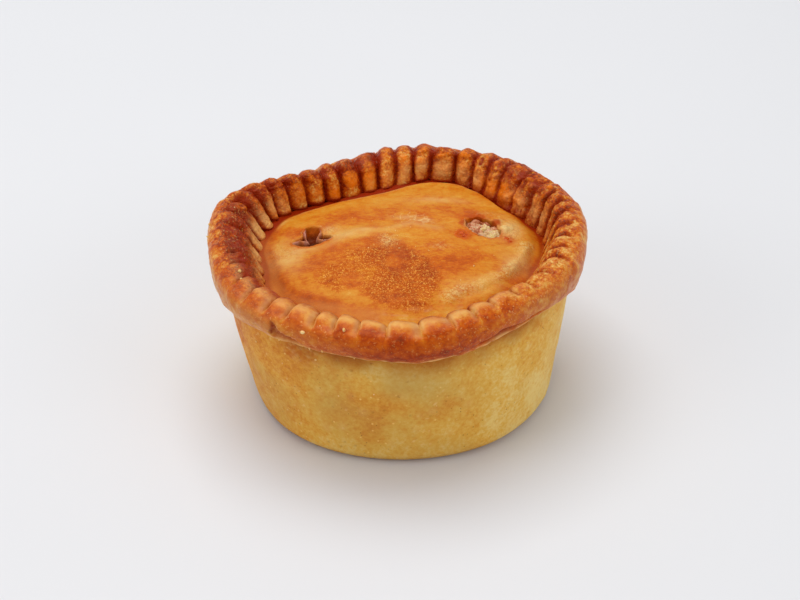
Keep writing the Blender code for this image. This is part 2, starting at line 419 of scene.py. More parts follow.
# Buttery tint of the sheen, and how far red, green and blue light travel under the crust, in millimetres.
SHEEN_COLOUR = (1, 0.7, 0.34, 1)
GLOW_REACH = (1.2, 0.6, 0.25)


class Value:
    """A number that a material works out at each point, with the usual arithmetic."""

    def __init__(self, look, socket):
        self.look = look
        self.socket = socket

    def __add__(self, other):
        return self.look.math("ADD", self, other)

    def __sub__(self, other):
        return self.look.math("SUBTRACT", self, other)

    def __mul__(self, other):
        return self.look.math("MULTIPLY", self, other)

    def between(self, low, high, to_low=0.0, to_high=1.0):
        """The value brought smoothly from one range to another."""
        made = self.look.node("ShaderNodeMapRange", interpolation_type="SMOOTHSTEP")
        for socket, entry in zip(made.inputs, (self, low, high, to_low, to_high)):
            self.look.feed(socket, entry)
        return Value(self.look, made.outputs["Result"])

    def sway(self, amount, low=0.3, high=0.7):
        """A noise value as a change of up to the amount, up or down."""
        return self.between(low, high, -amount, amount)


class Look:
    """A node material that is built up step by step."""

    def __init__(self, name):
        self.material = bpy.data.materials.new(name)
        self.material.use_nodes = True
        self.tree = self.material.node_tree
        self.shader = self.tree.nodes["Principled BSDF"]
        self.place = self.node("ShaderNodeTexCoord").outputs["Object"]

    def node(self, kind, **settings):
        made = self.tree.nodes.new(kind)
        for setting, value in settings.items():
            setattr(made, setting, value)
        return made

    def feed(self, socket, value):
        if isinstance(value, Value):
            value = value.socket
        if isinstance(value, bpy.types.NodeSocket):
            self.tree.links.new(value, socket)
        else:
            socket.default_value = value

    def mark(self, name):
        return Value(self, self.node("ShaderNodeAttribute", attribute_name=name).outputs["Fac"])

    def noise(self, size, detail=3, roughness=0.55, distortion=0.0, stretch=(1, 1, 1)):
        stretched = self.node("ShaderNodeVectorMath", operation="MULTIPLY")
        self.feed(stretched.inputs[0], self.place)
        stretched.inputs[1].default_value = stretch
        made = self.node("ShaderNodeTexNoise")
        self.feed(made.inputs["Vector"], stretched.outputs["Vector"])
        made.inputs["Scale"].default_value = 1 / size
        made.inputs["Detail"].default_value = detail
        made.inputs["Roughness"].default_value = roughness
        made.inputs["Distortion"].default_value = distortion
        return Value(self, made.outputs["Fac"])

    def cells(self, size):
        made = self.node("ShaderNodeTexVoronoi")
        self.feed(made.inputs["Vector"], self.place)
        made.inputs["Scale"].default_value = 1 / size
        return Value(self, made.outputs["Distance"])

    def math(self, operation, first, second):
        made = self.node("ShaderNodeMath", operation=operation)
        self.feed(made.inputs[0], first)
        self.feed(made.inputs[1], second)
        return Value(self, made.outputs["Value"])

    def ramp(self, value, stops):
        made = self.node("ShaderNodeValToRGB")
        self.feed(made.inputs["Fac"], value)
        elements = made.color_ramp.elements
        while len(elements) < len(stops):
            elements.new(0.5)
        for element, (position, colour) in zip(elements, stops):
            element.position = position
            element.color = tone(*colour)
        return made.outputs["Color"]

    def tinted(self, colour, *layers):
        """The colour with others laid over it in order, each by a value or by the mark of that name."""
        for share, tinge in layers:
            made = self.node("ShaderNodeMix", data_type="RGBA", blend_type="MIX")
            self.feed(made.inputs["Factor"], self.mark(share) if isinstance(share, str) else share)
            self.feed(made.inputs[6], colour)
            self.feed(made.inputs[7], tone(*tinge))
            colour = made.outputs[2]
        return colour

    def bumped(self, *layers):
        """Bumps stacked in order: each is a height and its depth in millimetres."""
        normal = None
        for height, depth in layers:
            made = self.node("ShaderNodeBump")
            made.inputs["Strength"].default_value = 1
            made.inputs["Distance"].default_value = depth * MM
            self.feed(made.inputs["Height"], height)
            if normal is not None:
                self.feed(made.inputs["Normal"], normal)
            normal = made.outputs["Normal"]
        return normal

    def finish(self, colour, roughness, normal, coat=0.0, coat_roughness=0.3, under=0.0, shine=0.2):
        inputs = self.shader.inputs
        self.feed(inputs["Base Color"], colour)
        self.feed(inputs["Roughness"], roughness)
        self.feed(inputs["Normal"], normal)
        inputs["Specular IOR Level"].default_value = shine
        inputs["Specular Tint"].default_value = SHEEN_COLOUR
        inputs["Coat Weight"].default_value = coat
        inputs["Coat Roughness"].default_value = coat_roughness
        inputs["Subsurface Weight"].default_value = under
        inputs["Subsurface Scale"].default_value = MM
        inputs["Subsurface Radius"].default_value = GLOW_REACH
        return self.material


# Tones of the crust, from raw to burnt.
CRUST_TONES = (
    (0.00, (230, 182, 104)), (0.22, (220, 150, 60)), (0.42, (207, 111, 20)),
    (0.6, (193, 82, 2)), (0.8, (164, 52, 0)), (1.00, (120, 29, 0)))
LID_TONES = (
    (0.00, (226, 182, 102)), (0.28, (214, 146, 46)), (0.52, (208, 123, 22)),
    (0.74, (194, 88, 2)), (1.00, (162, 60, 0)))
WALL_TONES = (
    (0.00, (236, 202, 120)), (0.33, (228, 176, 76)), (0.66, (220, 148, 48)),
    (1.00, (202, 106, 20)))
PORK_TONES = (
    (0.0, (220, 190, 124)), (0.3, (216, 172, 132)), (0.65, (200, 124, 84)),
    (1.0, (136, 46, 14)))
# Dark red-brown for real stains, and also for painted shade in creases, gaps and hollows.
STAIN_AND_SHADE_TONE = (146, 34, 0)


def crust_look():
    look = Look("rim_crust")
    broad = look.noise(5 * MM, 4)
    middling = look.noise(2.0 * MM, 4)
    small = look.noise(MM, 3, 0.6)
    fine = look.noise(0.55 * MM, 3, 0.6)
    grain = look.noise(0.3 * MM, 2)
    rough_here = look.mark("rough")
    lively = look.mark("lively")
    mottle = (broad.sway(0.07) + middling.sway(0.15) + small.sway(0.08)) * lively
    mottle = mottle + fine.sway(0.26, 0.32, 0.68) * rough_here
    colour = look.ramp(look.mark("baked") + mottle, CRUST_TONES)
    # Laid over the browning in turn: amber glaze, which on the finger crowns is painted light; pale flecks
    # that stand in for glints; scorch; the dusky tint, partly painted shade on the crimps' flanks; pale,
    # partly painted highlights on edges and ridges; and stain, mostly painted shade.
    colour = look.tinted(
        colour, ("amber", (234, 120, 2)), (fine.between(0.58, 0.66) * look.mark("flecks_and_glints"), (236, 170, 96)),
        (small.between(0.52, 0.66, 0, 0.8) * look.mark("scorched"), (134, 34, 2)),
        ("dusky_and_shade", (186, 120, 74)), ("pale", (234, 182, 110)), ("stain_and_shade", STAIN_AND_SHADE_TONE))
    gloss = middling.between(0.3, 0.7, 0.28, 0.46) - look.mark("wet") * 0.2
    normal = look.bumped(
        (middling * (lively + 0.2), 0.16), (small * (rough_here + 0.2), 0.3), (fine * rough_here, 0.22),
        (grain, 0.02))
    return look.finish(colour, gloss, normal, coat=0.05, coat_roughness=0.12, under=0.05, shine=0.25)


def lid_look():
    look = Look("lid_crust")
    broad = look.noise(7 * MM)
    middling = look.noise(2.0 * MM, 4)
    streaks = look.noise(1.6 * MM, 3, 0.5, 0.4, stretch=(0.35, 1.3, 1.0))
    worms = look.noise(0.4 * MM, 3, 0.6, 1.2)
    threads = look.noise(0.6 * MM, 4, 0.65, 0.3, stretch=(0.6, 1.1, 1.0))
    wrinkle = look.noise(0.8 * MM, 3, 0.55, 1.8)
    fine = look.noise(0.4 * MM)
    # On the lid the flecks mark holds real speckles.
    wrinkled, flecks_and_glints = look.mark("wrinkled"), look.mark("flecks_and_glints")
    mottle = broad.sway(0.1) + middling.sway(0.08) + streaks.sway(0.05)
    mottle = mottle + threads.sway(0.1) + fine.sway(0.05)
    colour = look.ramp(look.mark("baked") + mottle, LID_TONES)
    # Over the browning: the deep tint is painted shade at the bottom of the slit, and stain is mostly painted
    # shade in the gap by the rim and in the vents' hollows; the jelly tone also serves as painted shade on
    # the slit's walls.
    colour = look.tinted(
        colour, ("rosy", (202, 118, 46)), ("pale", (228, 190, 124)),
        (wrinkle.between(0.42, 0.6, 0, 0.8) * wrinkled, (232, 198, 124)),
        (worms.between(0.53, 0.62, 0, 0.85) * flecks_and_glints, (238, 168, 72)),
        (worms.between(0.44, 0.36, 0, 0.7) * flecks_and_glints, (164, 58, 2)), ("amber", (196, 84, 4)),
        ("jelly", (106, 18, 0)), ("deep", (46, 4, 0)), ("web", (196, 132, 112)), ("stain_and_shade", STAIN_AND_SHADE_TONE))
    gloss = flecks_and_glints.between(0.0, 1.0, 0.42, 0.55) + look.mark("jelly") * 0.12
    normal = look.bumped(
        (middling, 0.12), (streaks, 0.06), (threads, 0.05), (wrinkle * wrinkled, 0.3),
        (worms * flecks_and_glints, 0.16), (fine, 0.04))
    return look.finish(colour, gloss, normal, coat=0.02, under=0.06)


def wall_look():
    look = Look("case_crust")
    broad = look.noise(9 * MM)
    middling = look.noise(2.6 * MM, 4, 0.6)
    fine = look.noise(0.8 * MM, 4, 0.65)
    grain = look.noise(0.3 * MM, 2)
    mottle = broad.sway(0.12) + middling.sway(0.1) + fine.sway(0.17)
    fleck = look.cells(1.9 * MM).between(0.17, 0.08) * middling.between(0.46, 0.56, 0, 0.8)
    pore = look.cells(1.3 * MM).between(0.16, 0.07) * broad.between(0.44, 0.56, 0, 0.8)
    colour = look.ramp(look.mark("baked") + mottle, WALL_TONES)
    # Stain on the wall is painted shade under the lip and along the foot, and also darkens the pits.
    colour = look.tinted(
        colour, ("olive", (194, 156, 82)), (fleck, (240, 200, 112)), (pore, (156, 94, 34)),
        ("pale", (240, 208, 140)), ("stain_and_shade", (150, 76, 16)))
    normal = look.bumped((middling, 0.16), (fine, 0.18), (grain, 0.03))
    gloss = middling.between(0.3, 0.7, 0.46, 0.62)
    return look.finish(colour, gloss, normal, coat=0.03, coat_roughness=0.4, under=0.08)


def pork_look():
    look = Look("moist_pork")
    broad = look.noise(0.9 * MM)
    fine = look.noise(0.35 * MM)
    colour = look.ramp(look.mark("baked") + broad.sway(0.22), PORK_TONES)
    gloss = broad.between(0.3, 0.7, 0.28, 0.42)
    normal = look.bumped((broad, 0.22), (fine, 0.12))
    return look.finish(colour, gloss, normal, coat=0.25, coat_roughness=0.2, under=0.12)


def jelly_look():
    look = Look("baked_jelly")
    broad = look.noise(1.2 * MM)
    colour = look.ramp(broad, ((0.3, (170, 44, 0)), (0.7, (204, 84, 6))))
    gloss = broad.between(0.3, 0.7, 0.26, 0.4)
    return look.finish(colour, gloss, look.bumped((broad, 0.12)), coat=0.15, coat_roughness=0.2, under=0.1)


def flour_look():
    look = Look("flour_crumbs")
    broad = look.noise(0.8 * MM)
    colour = look.ramp(broad, ((0.3, (232, 180, 104)), (0.7, (242, 210, 150))))
    return look.finish(colour, broad.between(0.3, 0.7, 0.6, 0.8), look.bumped((broad, 0.1)), under=0.1)


def floor_look():
    look = Look("pale_floor")
    cloudy = look.noise(0.2, 2)
    colour = look.ramp(cloudy, ((0.2, (222, 223, 226)), (0.8, (226, 227, 230))))
    return look.finish(colour, 0.55, look.bumped((cloudy, 0.1)))


# ---------------------------------------------------------------- rim

# The station runs 0 at the lip, 1 at the edge, 2 on the crest and 3 at the groove.
LIP, EDGE, CREST = 0, 1, 2

# The unrolled rim, on which its chance fields are laid out: radius, and length of one station.
UNROLLED_RADIUS = 42 * MM
STATION_LENGTH = 6 * MM

# Radius on which the crimps lean, and the rounding of their tips.
LEAN_RADIUS = 38 * MM
TIP_ROUNDING = 0.9 * MM

# How far below the top of the CAD box the crimps begin to be pressed flatter.
HEADROOM = 0.25 * MM

# Azimuths at which the next values are given; between them the values change evenly, all the way round.
RIM_BEARINGS = (-165, -140, -110, -80, -55, -25, 5, 40, 65, 100, 130, 155, 178)
CRIMP_STARTS = (1.8, 1.2, 1.36, 1.4, 1.45, 1.5, 1.6, 1.45, 1.22, 1.15, 1.15, 1.3, 1.95)
CRIMP_DEPTHS = (0.85, 1.05, 1.05, 1.00, 0.9, 0.8, 0.7, 0.72, 1.00, 1.15, 1.15, 1.1, 0.9)
CREASE_DEPTHS = (0.4, 0.3, 0.2, 0.2, 0.26, 0.38, 0.38, 0.32, 0.42, 0.5, 0.5, 0.5, 0.45)
# Last row: how dark the creases between the crimps are painted, as painted shade.
CREASE_SHADE = (0.6, 0.45, 0.28, 0.28, 0.45, 0.75, 0.85, 0.85, 0.95, 0.95, 0.95, 0.95, 0.85)

# Rough places on the rim: height of the roughness, azimuth, half width, station, half reach.
ROUGH_PLACES = (
    (0.5, 42, 20, 2.55, 0.5), (0.44, 34, 26, 2.0, 0.5), (0.44, 176, 26, 2.12, 0.3),
    (0.26, -42, 20, 1.85, 0.4), (0.24, -10, 18, 2.1, 0.4), (0.36, 125, 28, 2.1, 0.28),
    (0.1, -118, 10, 0.5, 0.4), (0.08, -60, 16, 0.9, 0.4), (0.22, 88, 30, 2.1, 0.35),
    (0.22, -156, 16, 2.2, 0.35), (0.12, 190, 24, 1.2, 0.5), (0.34, 174, 24, 2.5, 0.4))

# Baking of the rim: amount added, azimuth, half width, station, half reach.
BAKED_PLACES = (
    (0.31, -86, 24, 0.66, 0.34), (-0.2, -92, 48, 2.05, 0.24), (-0.12, -130, 16, 1.0, 0.4),
    (-0.2, 190, 26, 0.9, 0.55), (0.32, 180, 24, 2.22, 0.32), (-0.14, -5, 24, 0.9, 0.6),
    (-0.06, -45, 18, 1.7, 0.5), (0.06, 138, 24, 2.1, 0.3), (-0.1, 85, 25, 2.6, 0.3),
    (0.24, 38, 24, 2.3, 0.6), (0.06, 84, 16, 2.3, 0.4), (0.14, -156, 14, 2.1, 0.3),
    (0.08, 90, 60, 1.85, 0.3), (0.24, 180, 22, 2.52, 0.18))


def by_bearing(azimuth, values):
    """One of the rows of values above, read off all the way round."""
    return np.interp(np.degrees(azimuth), RIM_BEARINGS, values, period=360)


def section_rows():
    """Rows of the rim's section: part, turn along it in degrees, and station."""
    rows = []
    for step in range(LOWER_STEPS):
        turn = 90 * (1 - (step / LOWER_STEPS) ** 1.5)
        rows.append(("lower", turn, LIP + (90 - turn) / 90))
    for step in range(OUTER_STEPS):
        turn = 90 * (1 - step / OUTER_STEPS)
        rows.append(("outer", turn, EDGE + (90 - turn) / 90))
    for step in range(INNER_STEPS + 1):
        turn = 90 * step / INNER_STEPS
        rows.append(("inner", turn, CREST + turn / 90))
    return rows


def rim_row(azimuth, part, turn):
    """Radius and height of one row of the plain rim."""
    edge = edge_radius(azimuth)
    crest_radius = edge - CREST_IN_FROM_EDGE + swelling(azimuth, CREST_LEFT_SHIFT)
    crest = crest_height(azimuth)
    edge_height = crest - CREST_ABOVE_EDGE
    swing = np.sin(np.radians(turn))
    fall = 1 - np.cos(np.radians(turn))
    if part == "inner":
        straight = INNER_STRAIGHTNESS * swing ** 2
        inwards = swing + (turn / 90 - swing) * straight
        downwards = fall + (turn / 90 - fall) * straight
        radius = crest_radius - (crest_radius - groove_radius(azimuth)) * inwards
        return radius, crest - (crest - groove_height(azimuth)) * downwards
    if part == "outer":
        return crest_radius + (edge - crest_radius) * swing, crest - CREST_ABOVE_EDGE * fall
    radius = edge - (edge - wall_radius(azimuth) - LIP_OVERHANG) * fall
    return radius, edge_height - (edge_height - lip_height(azimuth)) * swing


def places_sum(azimuth, station, places):
    """Sum of the amounts of the places, each fading away from its own middle."""
    total = 0
    for amount, middle, half_width, height, reach in places:
        total = total + amount * around(azimuth, middle, half_width) * hump(station, height, reach)
    return total


def crimp_columns(starts):
    """Columns of the rim: crimp, share of the way across it, width of the crimp, and azimuth."""
    local = np.arange(CRIMP_STEPS) / CRIMP_STEPS
    local = local - 0.5 * np.sin(2 * pi * local) / (2 * pi)
    crimp = np.repeat(np.arange(CRIMP_COUNT), CRIMP_STEPS)
    share = np.tile(local, CRIMP_COUNT)[None, :]
    width = np.diff(starts)[crimp][None, :]
    return crimp, share, width, starts[crimp][None, :] + share * width


def plain_rim(azimuth, rows, scallop):
    """Radii and heights of the rim without its crimps, and the outward direction at each point."""
    radius = np.empty_like(azimuth)
    height = np.empty_like(azimuth)
    for number, (part, degrees) in enumerate(row[:2] for row in rows):
        here = degrees * scallop[number] if part == "inner" else degrees + 0 * azimuth[number]
        radius[number], height[number] = rim_row(azimuth[number], part, here)
    along_radius = np.gradient(radius, axis=0)
    along_height = np.gradient(height, axis=0)
    length = np.hypot(along_radius, along_height)
    return radius, height, along_height / length, -along_radius / length


def torn_front(azimuth, station, unrolled):
    """The torn flap at the front left and its layers, and the slit under the lip at the front right."""
    flap_turn = turn_between(azimuth, -122.5) + 1.2 * waves(unrolled, 2, 16)
    flap_ceiling = 0.86 - 0.085 * flap_turn + 0.1 * waves(unrolled, 1.5, 18)
    flap = rise(5.2 - np.abs(flap_turn), 0, 0.8) * rise(station, 0.36, 0.46)
    flap = flap * rise(flap_ceiling - station, 0, 0.1)
    slit_reach = 11 + 2 * waves(unrolled, 3, 19)
    slit = fade(turn_between(azimuth, -54) / slit_reach, 4)
    slit_width = 0.045 + 0.07 * around(azimuth, -57, 3.5)
    slit = slit * hump(station, 0.52 + 0.05 * waves(unrolled, 2.5, 17), slit_width)
    layers = waves(unrolled * (1.0, 1.0, 2.2), 1.1, 20)
    return flap, layers, slit


def closed_rim(azimuth, radius, height):
    """Points of the closed rim: the crimps' tips roll under to the lid, and a hidden side joins the ends."""
    tips_r, tips_z = [], []
    for step in range(1, TIP_STEPS + 1):
        roll = radians(90 * step / TIP_STEPS)
        tips_r.append(radius[-1] + TIP_ROUNDING * (1 - cos(roll)))
        tips_z.append(height[-1] - TIP_ROUNDING * sin(roll))
    last = azimuth[-1]
    first = azimuth[0]
    hidden_r = [groove_radius(last) + 1.8 * MM]
    hidden_z = [0 * last + LID_UNDERSIDE]
    wall, lip = wall_radius(first), lip_height(first)
    hidden_r += [wall - 3.8 * MM, wall + 0.4 * MM, wall + 0.4 * MM, wall + 0.62 * MM]
    hidden_z += [0 * first + LID_UNDERSIDE, lip + 1.9 * MM, lip + 0.35 * MM, lip + 0.06 * MM]
    beyond = [np.repeat(last[None], TIP_STEPS + 1, 0), np.repeat(first[None], 4, 0)]
    full_azimuth = np.concatenate([azimuth, *beyond])
    full_radius = np.concatenate([radius, tips_r, hidden_r])
    full_height = np.concatenate([height, tips_z, hidden_z])
    grid = placed(full_azimuth, full_radius, full_height)
    over = np.clip(grid[..., 2] - (CAD_HIGH[2] - HEADROOM), 0, None)
    grid[..., 2] = grid[..., 2] - over + HEADROOM * (1 - np.exp(-over / HEADROOM))
    return np.clip(grid, CAD_LOW, CAD_HIGH)


def build_rim(look):
    """The crimped rim, its visible grid and the stations of the grid's rows."""
    starts = crimp_starts()
    chance = np.random.default_rng(CRIMP_SEED)
    crimp, share, width, turn = crimp_columns(starts)
    valley = np.where(share[0] < 0.5, crimp, (crimp + 1) % CRIMP_COUNT)
    valley_depth = chance.uniform(0.7, 1.3, CRIMP_COUNT)[valley][None, :]
    finger_height = chance.uniform(-0.3, 0.16, CRIMP_COUNT)[crimp][None, :]
    finger_tone = chance.uniform(-1, 1, CRIMP_COUNT)[crimp][None, :]
    finger_lean = chance.uniform(-1, 1, CRIMP_COUNT)

    rows = section_rows()
    station = np.array([row[2] for row in rows])[:, None] + 0 * turn
    around_rim = [UNROLLED_RADIUS * np.cos(turn) + 0 * station, UNROLLED_RADIUS * np.sin(turn) + 0 * station]
    unrolled = np.stack(around_rim + [station * STATION_LENGTH], -1) / MM
    lean_here = np.interp(turn, starts, np.append(finger_lean, finger_lean[0]))
    lean = 0.35 * waves(unrolled, 7, 3) + 0.22 * waves(unrolled, 2.6, 4)
    lean = lean + 0.55 * lean_here * (station - CREST) - 1.5 * around(turn, -146, 18) * (station - CREST)
    azimuth = turn + lean * MM / LEAN_RADIUS
    at, between = partial(around, azimuth), partial(span, azimuth)
    near, above = partial(hump, station), partial(rise, station)

    front = between(-172, -48, 24)
    back = between(52, 168, 16)
    hollow = np.abs(2 * share ** (1 - 0.42 * front) - 1)
    left = between(140, 218, 20)
    scallop = (0.05 + 0.09 * left) * hollow ** 3 + 0.03 * finger_lean[crimp][None, :]
    scallop = 1 - scallop * between(50, 215, 20)
    radius, height, out_r, out_z = plain_rim(azimuth, rows, scallop)

    begin = by_bearing(azimuth, CRIMP_STARTS) + 0.1 * finger_tone
    weight = above(begin, begin + 0.42)
    away = np.minimum(share, 1 - share) * width * radius
    round_power = 2.1 - 0.25 * back
    finger_round = hollow ** round_power * by_bearing(azimuth, CRIMP_DEPTHS) * weight
    crease_width = (0.36 + 0.46 * back * near(2.12, 0.2) * (2 * valley_depth - 1)) * MM
    crease = fade(away / crease_width, 1.7) * by_bearing(azimuth, CREASE_DEPTHS) * valley_depth
    crease = crease * above(begin + 0.05, begin + 0.4) * (1 - 0.35 * near(CREST, 0.22) * back)
    crown = 1 - hollow ** 2
    dish = crown * 0.16 * near(1.62, 0.2) * front
    point = placed(azimuth, radius, height) / MM
    swell = 0.22 * waves(point, 9, 11) + (0.14 + 0.1 * back) * waves(point, 3.2, 12)
    flaky = unrolled * (1.0, 1.0, 1.7)
    ledge = at(47, 9) * above(2.45, 2.7)
    texture = rough(flaky, 1.7, 13, 3)
    roughness = np.clip(0.06 + places_sum(azimuth, station, ROUGH_PLACES), 0, 0.7)
    inner_side = between(-34, 222, 20) * above(1.75, 2.0)
    lower_face = above(0.15, 0.4) * rise(1.75 - station, 0, 0.3) * between(-150, 30, 20)
    cracks = fade(waves(unrolled * (1.0, 1.0, 2.6), 2.6, 14) / 0.07) * lower_face
    cracks = cracks * rise(waves(point, 5, 15), -0.1, 0.5)
    shape = finger_height * weight - (finger_round + crease) * (1 - 0.6 * ledge) - dish + swell
    shape += texture * roughness - 0.1 * cracks - 0.18
    lumps = rise(0.62 - bubbles(point, 3.1, 21), 0, 0.5) * at(40, 9) * near(2.7, 0.25)
    shape += 0.7 * lumps * rise(waves(point, 4, 22), -0.4, 0.3)
    step_line = 2.45 + 0.15 * finger_lean[crimp][None, :]
    shape -= 0.2 * between(98, 158, 12) * above(step_line - 0.05, step_line + 0.04)
    toe = between(50, 215, 16) * near(2.72, 0.16) * crown
    shape -= 0.32 * at(182, 30) * near(2.0, 0.5)
    shape += 0.22 * toe - 0.16 * back * near(2.3, 0.14) * crown
    shape += 0.22 * between(150, 220, 14) * (1 - weight) * crown * near(1.5, 0.5)
    flap, layers, slit = torn_front(azimuth, station, unrolled)
    shape = shape - (1.1 - 0.3 * layers) * flap - 1.1 * slit
    lip_edge = above(0.0, 0.12) * rise(0.44 - station, 0, 0.1)
    shape += lip_edge * (0.14 + 0.16 * waves(point, 2.2, 31))
    radius = radius + shape * MM * out_r
    height += shape * MM * out_z
    grid = closed_rim(azimuth, radius, height)

    # Looks of the rim's points.
    patches = rough(flaky, 3.4, 41)
    small = rough(flaky, 1.0, 42, 2)
    lively = 1 - 0.45 * between(-152, -44, 20) * rise(2.5 - station, 0, 0.4)
    baked = 0.5 + places_sum(azimuth, station, BAKED_PLACES) + 0.06 * finger_tone * weight
    baked += 0.16 * patches * (0.3 + 0.7 * lively) + (0.08 * lively + 0.6 * roughness) * small
    baked += front * (0.26 * near(1.5, 0.24) * crown - 0.1 * weight * hollow ** 4)
    # Painted shade on the inner side: darker towards the valleys between fingers and lighter on their crowns.
    baked += 0.34 * inner_side * rise(hollow, 0.25, 0.9) - 0.12 * inner_side * crown
    baked += 0.16 * back * near(2.22, 0.18) * (0.5 + finger_tone)
    red_band = at(182, 24) * fade((station - 2.24) / 0.34, 3)
    red_band = np.maximum(red_band, between(96, 160, 10) * near(2.15, 0.18) * 0.7)
    baked += 0.26 * red_band
    window = np.hypot(hollow / 0.85, (station - step_line - 0.24) / 0.25) + 0.22 * patches
    fresh = between(100, 160, 8) * rise(1.05 - window, 0, 0.25) * (0.75 + 0.5 * finger_tone)
    # Painted light: brighter amber on the crowns of the fingers at the back.
    crown_highlight = between(58, 104, 10) * near(2.5, 0.3) * rise(crown, 0.5, 0.95)
    well_front = front * (1 - at(190, 14))
    # Painted highlights: along the tops of the front arches, and on each front crimp's sharp left edge; a
    # thin dark line of painted shade runs at the arches' inner foot.
    arch_highlight = well_front * near(2.00, 0.1) * (0.35 + 0.65 * crown)
    inner_shade_line = between(-165, -42, 16) * near(2.27, 0.1) * (0.75 + 0.5 * waves(unrolled, 2, 46))
    edge_highlight = well_front * fade((share - 0.06) / 0.045) * above(begin + 0.1, begin + 0.4)
    tips_pale = 0.75 * at(78, 11) + 1.1 * at(176, 20) + 0.35 * at(60, 5) + 0.85 * at(24, 9)
    tips_pale *= near(2.7 + 0.1 * at(180, 25), 0.15) * rise(crown, 0.25, 0.9)
    # Painted highlight along the crest at the back.
    ridge_highlight = back * near(1.95, 0.14) * crown * (0.5 + 0.5 * waves(unrolled, 2.4, 44))
    pale = 0.42 * arch_highlight + 0.55 * edge_highlight + tips_pale * (0.65 + 0.5 * waves(point, 2, 43))
    ragged = 0.6 + 0.8 * waves(point, 1.4, 45)
    lip_pale = lip_edge * ragged * (1 + 0.5 * at(-124, 9)) * between(-160, -30, 10)
    pale += 0.08 * ridge_highlight + 0.75 * lip_pale + 0.2 * lumps
    # The dusky tint on the right flank of each front crimp is painted shade; the other dusky places are mauve
    # patches and the inside of the flap.
    dusky_and_shade = 0.75 * well_front * fade((share - 0.86) / 0.12) * weight * rise(2.25 - station, 0, 0.3)
    dusky_and_shade += 0.45 * at(-34, 12) * near(1.0, 0.35) + 0.45 * flap * (0.5 + 0.8 * layers)
    dusky_and_shade += 0.5 * at(-138, 20) * near(0.9, 0.38) * (0.7 + 0.6 * patches)
    # Stain is mostly painted shade: in the creases between crimps, in the valleys between the back fingers,
    # in the gap by the lid and under the tips, along the flap's upper edge and in the slit, and in low spots
    # of rough places. The dark red granules and patches at the left and back right are the crust's own
    # colour.
    crease_shade = np.clip(crease / 0.6, 0, 1) * by_bearing(azimuth, CREASE_SHADE)
    valley_shade = 1.15 * back * near(2.15, 0.26) * rise(hollow, 0.32, 0.8) * (valley_depth - 0.35)
    valley_shade += 0.45 * inner_side * rise(hollow, 0.62, 0.97) * above(begin + 0.2, begin + 0.6)
    valley_shade *= 1 - 0.45 * back * above(2.4, 2.6)
    gap_shade = 0.7 * between(60, 150, 16) * above(2.9, 3) + 0.8 * at(50, 14) * above(2.74, 2.9)
    stain_and_shade = 0.85 * crease_shade + gap_shade + 0.35 * above(2.92, 3) + 0.25 * cracks + 0.8 * valley_shade
    flap_edge_shadow = rise(flap, 0.05, 0.45) * rise(0.98 - flap, 0, 0.4) * above(0.46, 0.6)
    stain_and_shade += 0.42 * flap + 0.8 * flap_edge_shadow + np.clip(slit, 0, 1) + 0.85 * inner_shade_line
    right_front = at(-42, 24)
    stain_and_shade += 0.65 * red_band * rise(-small, -0.15, 0.35)
    stain_and_shade += 0.72 * at(38, 20) * above(1.8, 2.1) * rise(-small, -0.05, 0.4) * (1 - ledge)
    stain_and_shade += (0.7 + 0.9 * inner_side) * roughness * rise(-texture, 0.2, 0.7) * (1 - 0.7 * right_front)
    # Pale flecks stand in for glints on the granular crust.
    flecks_and_glints = 0.15 + 0.6 * at(182, 26) + 0.5 * at(-45, 24) + 0.22 * at(44, 20)
    flecks_and_glints += 0.4 * at(-120, 12) * (station < 1.6) + 0.15 * back * near(2.0, 0.25)
    scorched = 0.1 + 0.6 * at(44, 26) + 0.6 * at(130, 30) + 0.7 * at(182, 24)
    scorched = scorched * (1 - 0.6 * above(2.45, 2.6))
    wet = inner_side * (0.6 + 0.6 * patches + 0.5 * at(40, 22)) * above(2.05, 2.35)
    # Painted light: amber on the crowns and raised grain at the back and back right.
    back_crown_highlight = (0.55 + 0.35 * at(40, 20)) * between(15, 175, 16) * above(1.8, 2.0) * crown
    back_crown_highlight = back_crown_highlight * rise(texture, 0.0, 0.6)
    amber = 0.62 * fresh + 0.42 * crown_highlight + back_crown_highlight + 0.5 * lumps + 0.85 * ledge
    rough_here = 2.0 * roughness + 0.1 * patches + 0.45 * inner_side
    flecks_and_glints *= 0.4 + 0.6 * (station > 0.2)
    scorched = scorched * above(1.3, 1.7)
    extra = len(grid) - len(azimuth)

    def completed(values, beyond):
        values = np.clip(values + 0 * azimuth, 0, 1)
        return np.concatenate([values, np.full((extra, azimuth.shape[1]), beyond)])

    # The rolled-under tips and the hidden side are given a dark stain value, as painted shade.
    marks = {
        "baked": completed(baked, 0.7), "pale": completed(pale, 0.0), "stain_and_shade": completed(stain_and_shade, 0.85),
        "dusky_and_shade": completed(dusky_and_shade, 0.0), "rough": completed(rough_here, 0.3), "flecks_and_glints": completed(flecks_and_glints, 0.0),
        "lively": completed(lively, 1.0), "wet": completed(wet, 0.5), "amber": completed(amber, 0.0),
        "scorched": completed(scorched, 0.0)}
    return looped_grid("crimped_rim", grid, look, marks), grid[:len(rows)], station


# ---------------------------------------------------------------- lid

# Lines on the lid in the pie's own plan: a soft fold across it, and the pleated fold at the right front.
FOLD_LINE = ((-0.015, -0.001), (-0.0095, 0.005), (-0.0025, 0.0046), (0.003, 0.0074), (0.009, 0.005))
PLEAT_LINE = ((0.029, 0.002), (0.0275, -0.0045), (0.0222, -0.0108), (0.0165, -0.0155), (0.011, -0.0186))

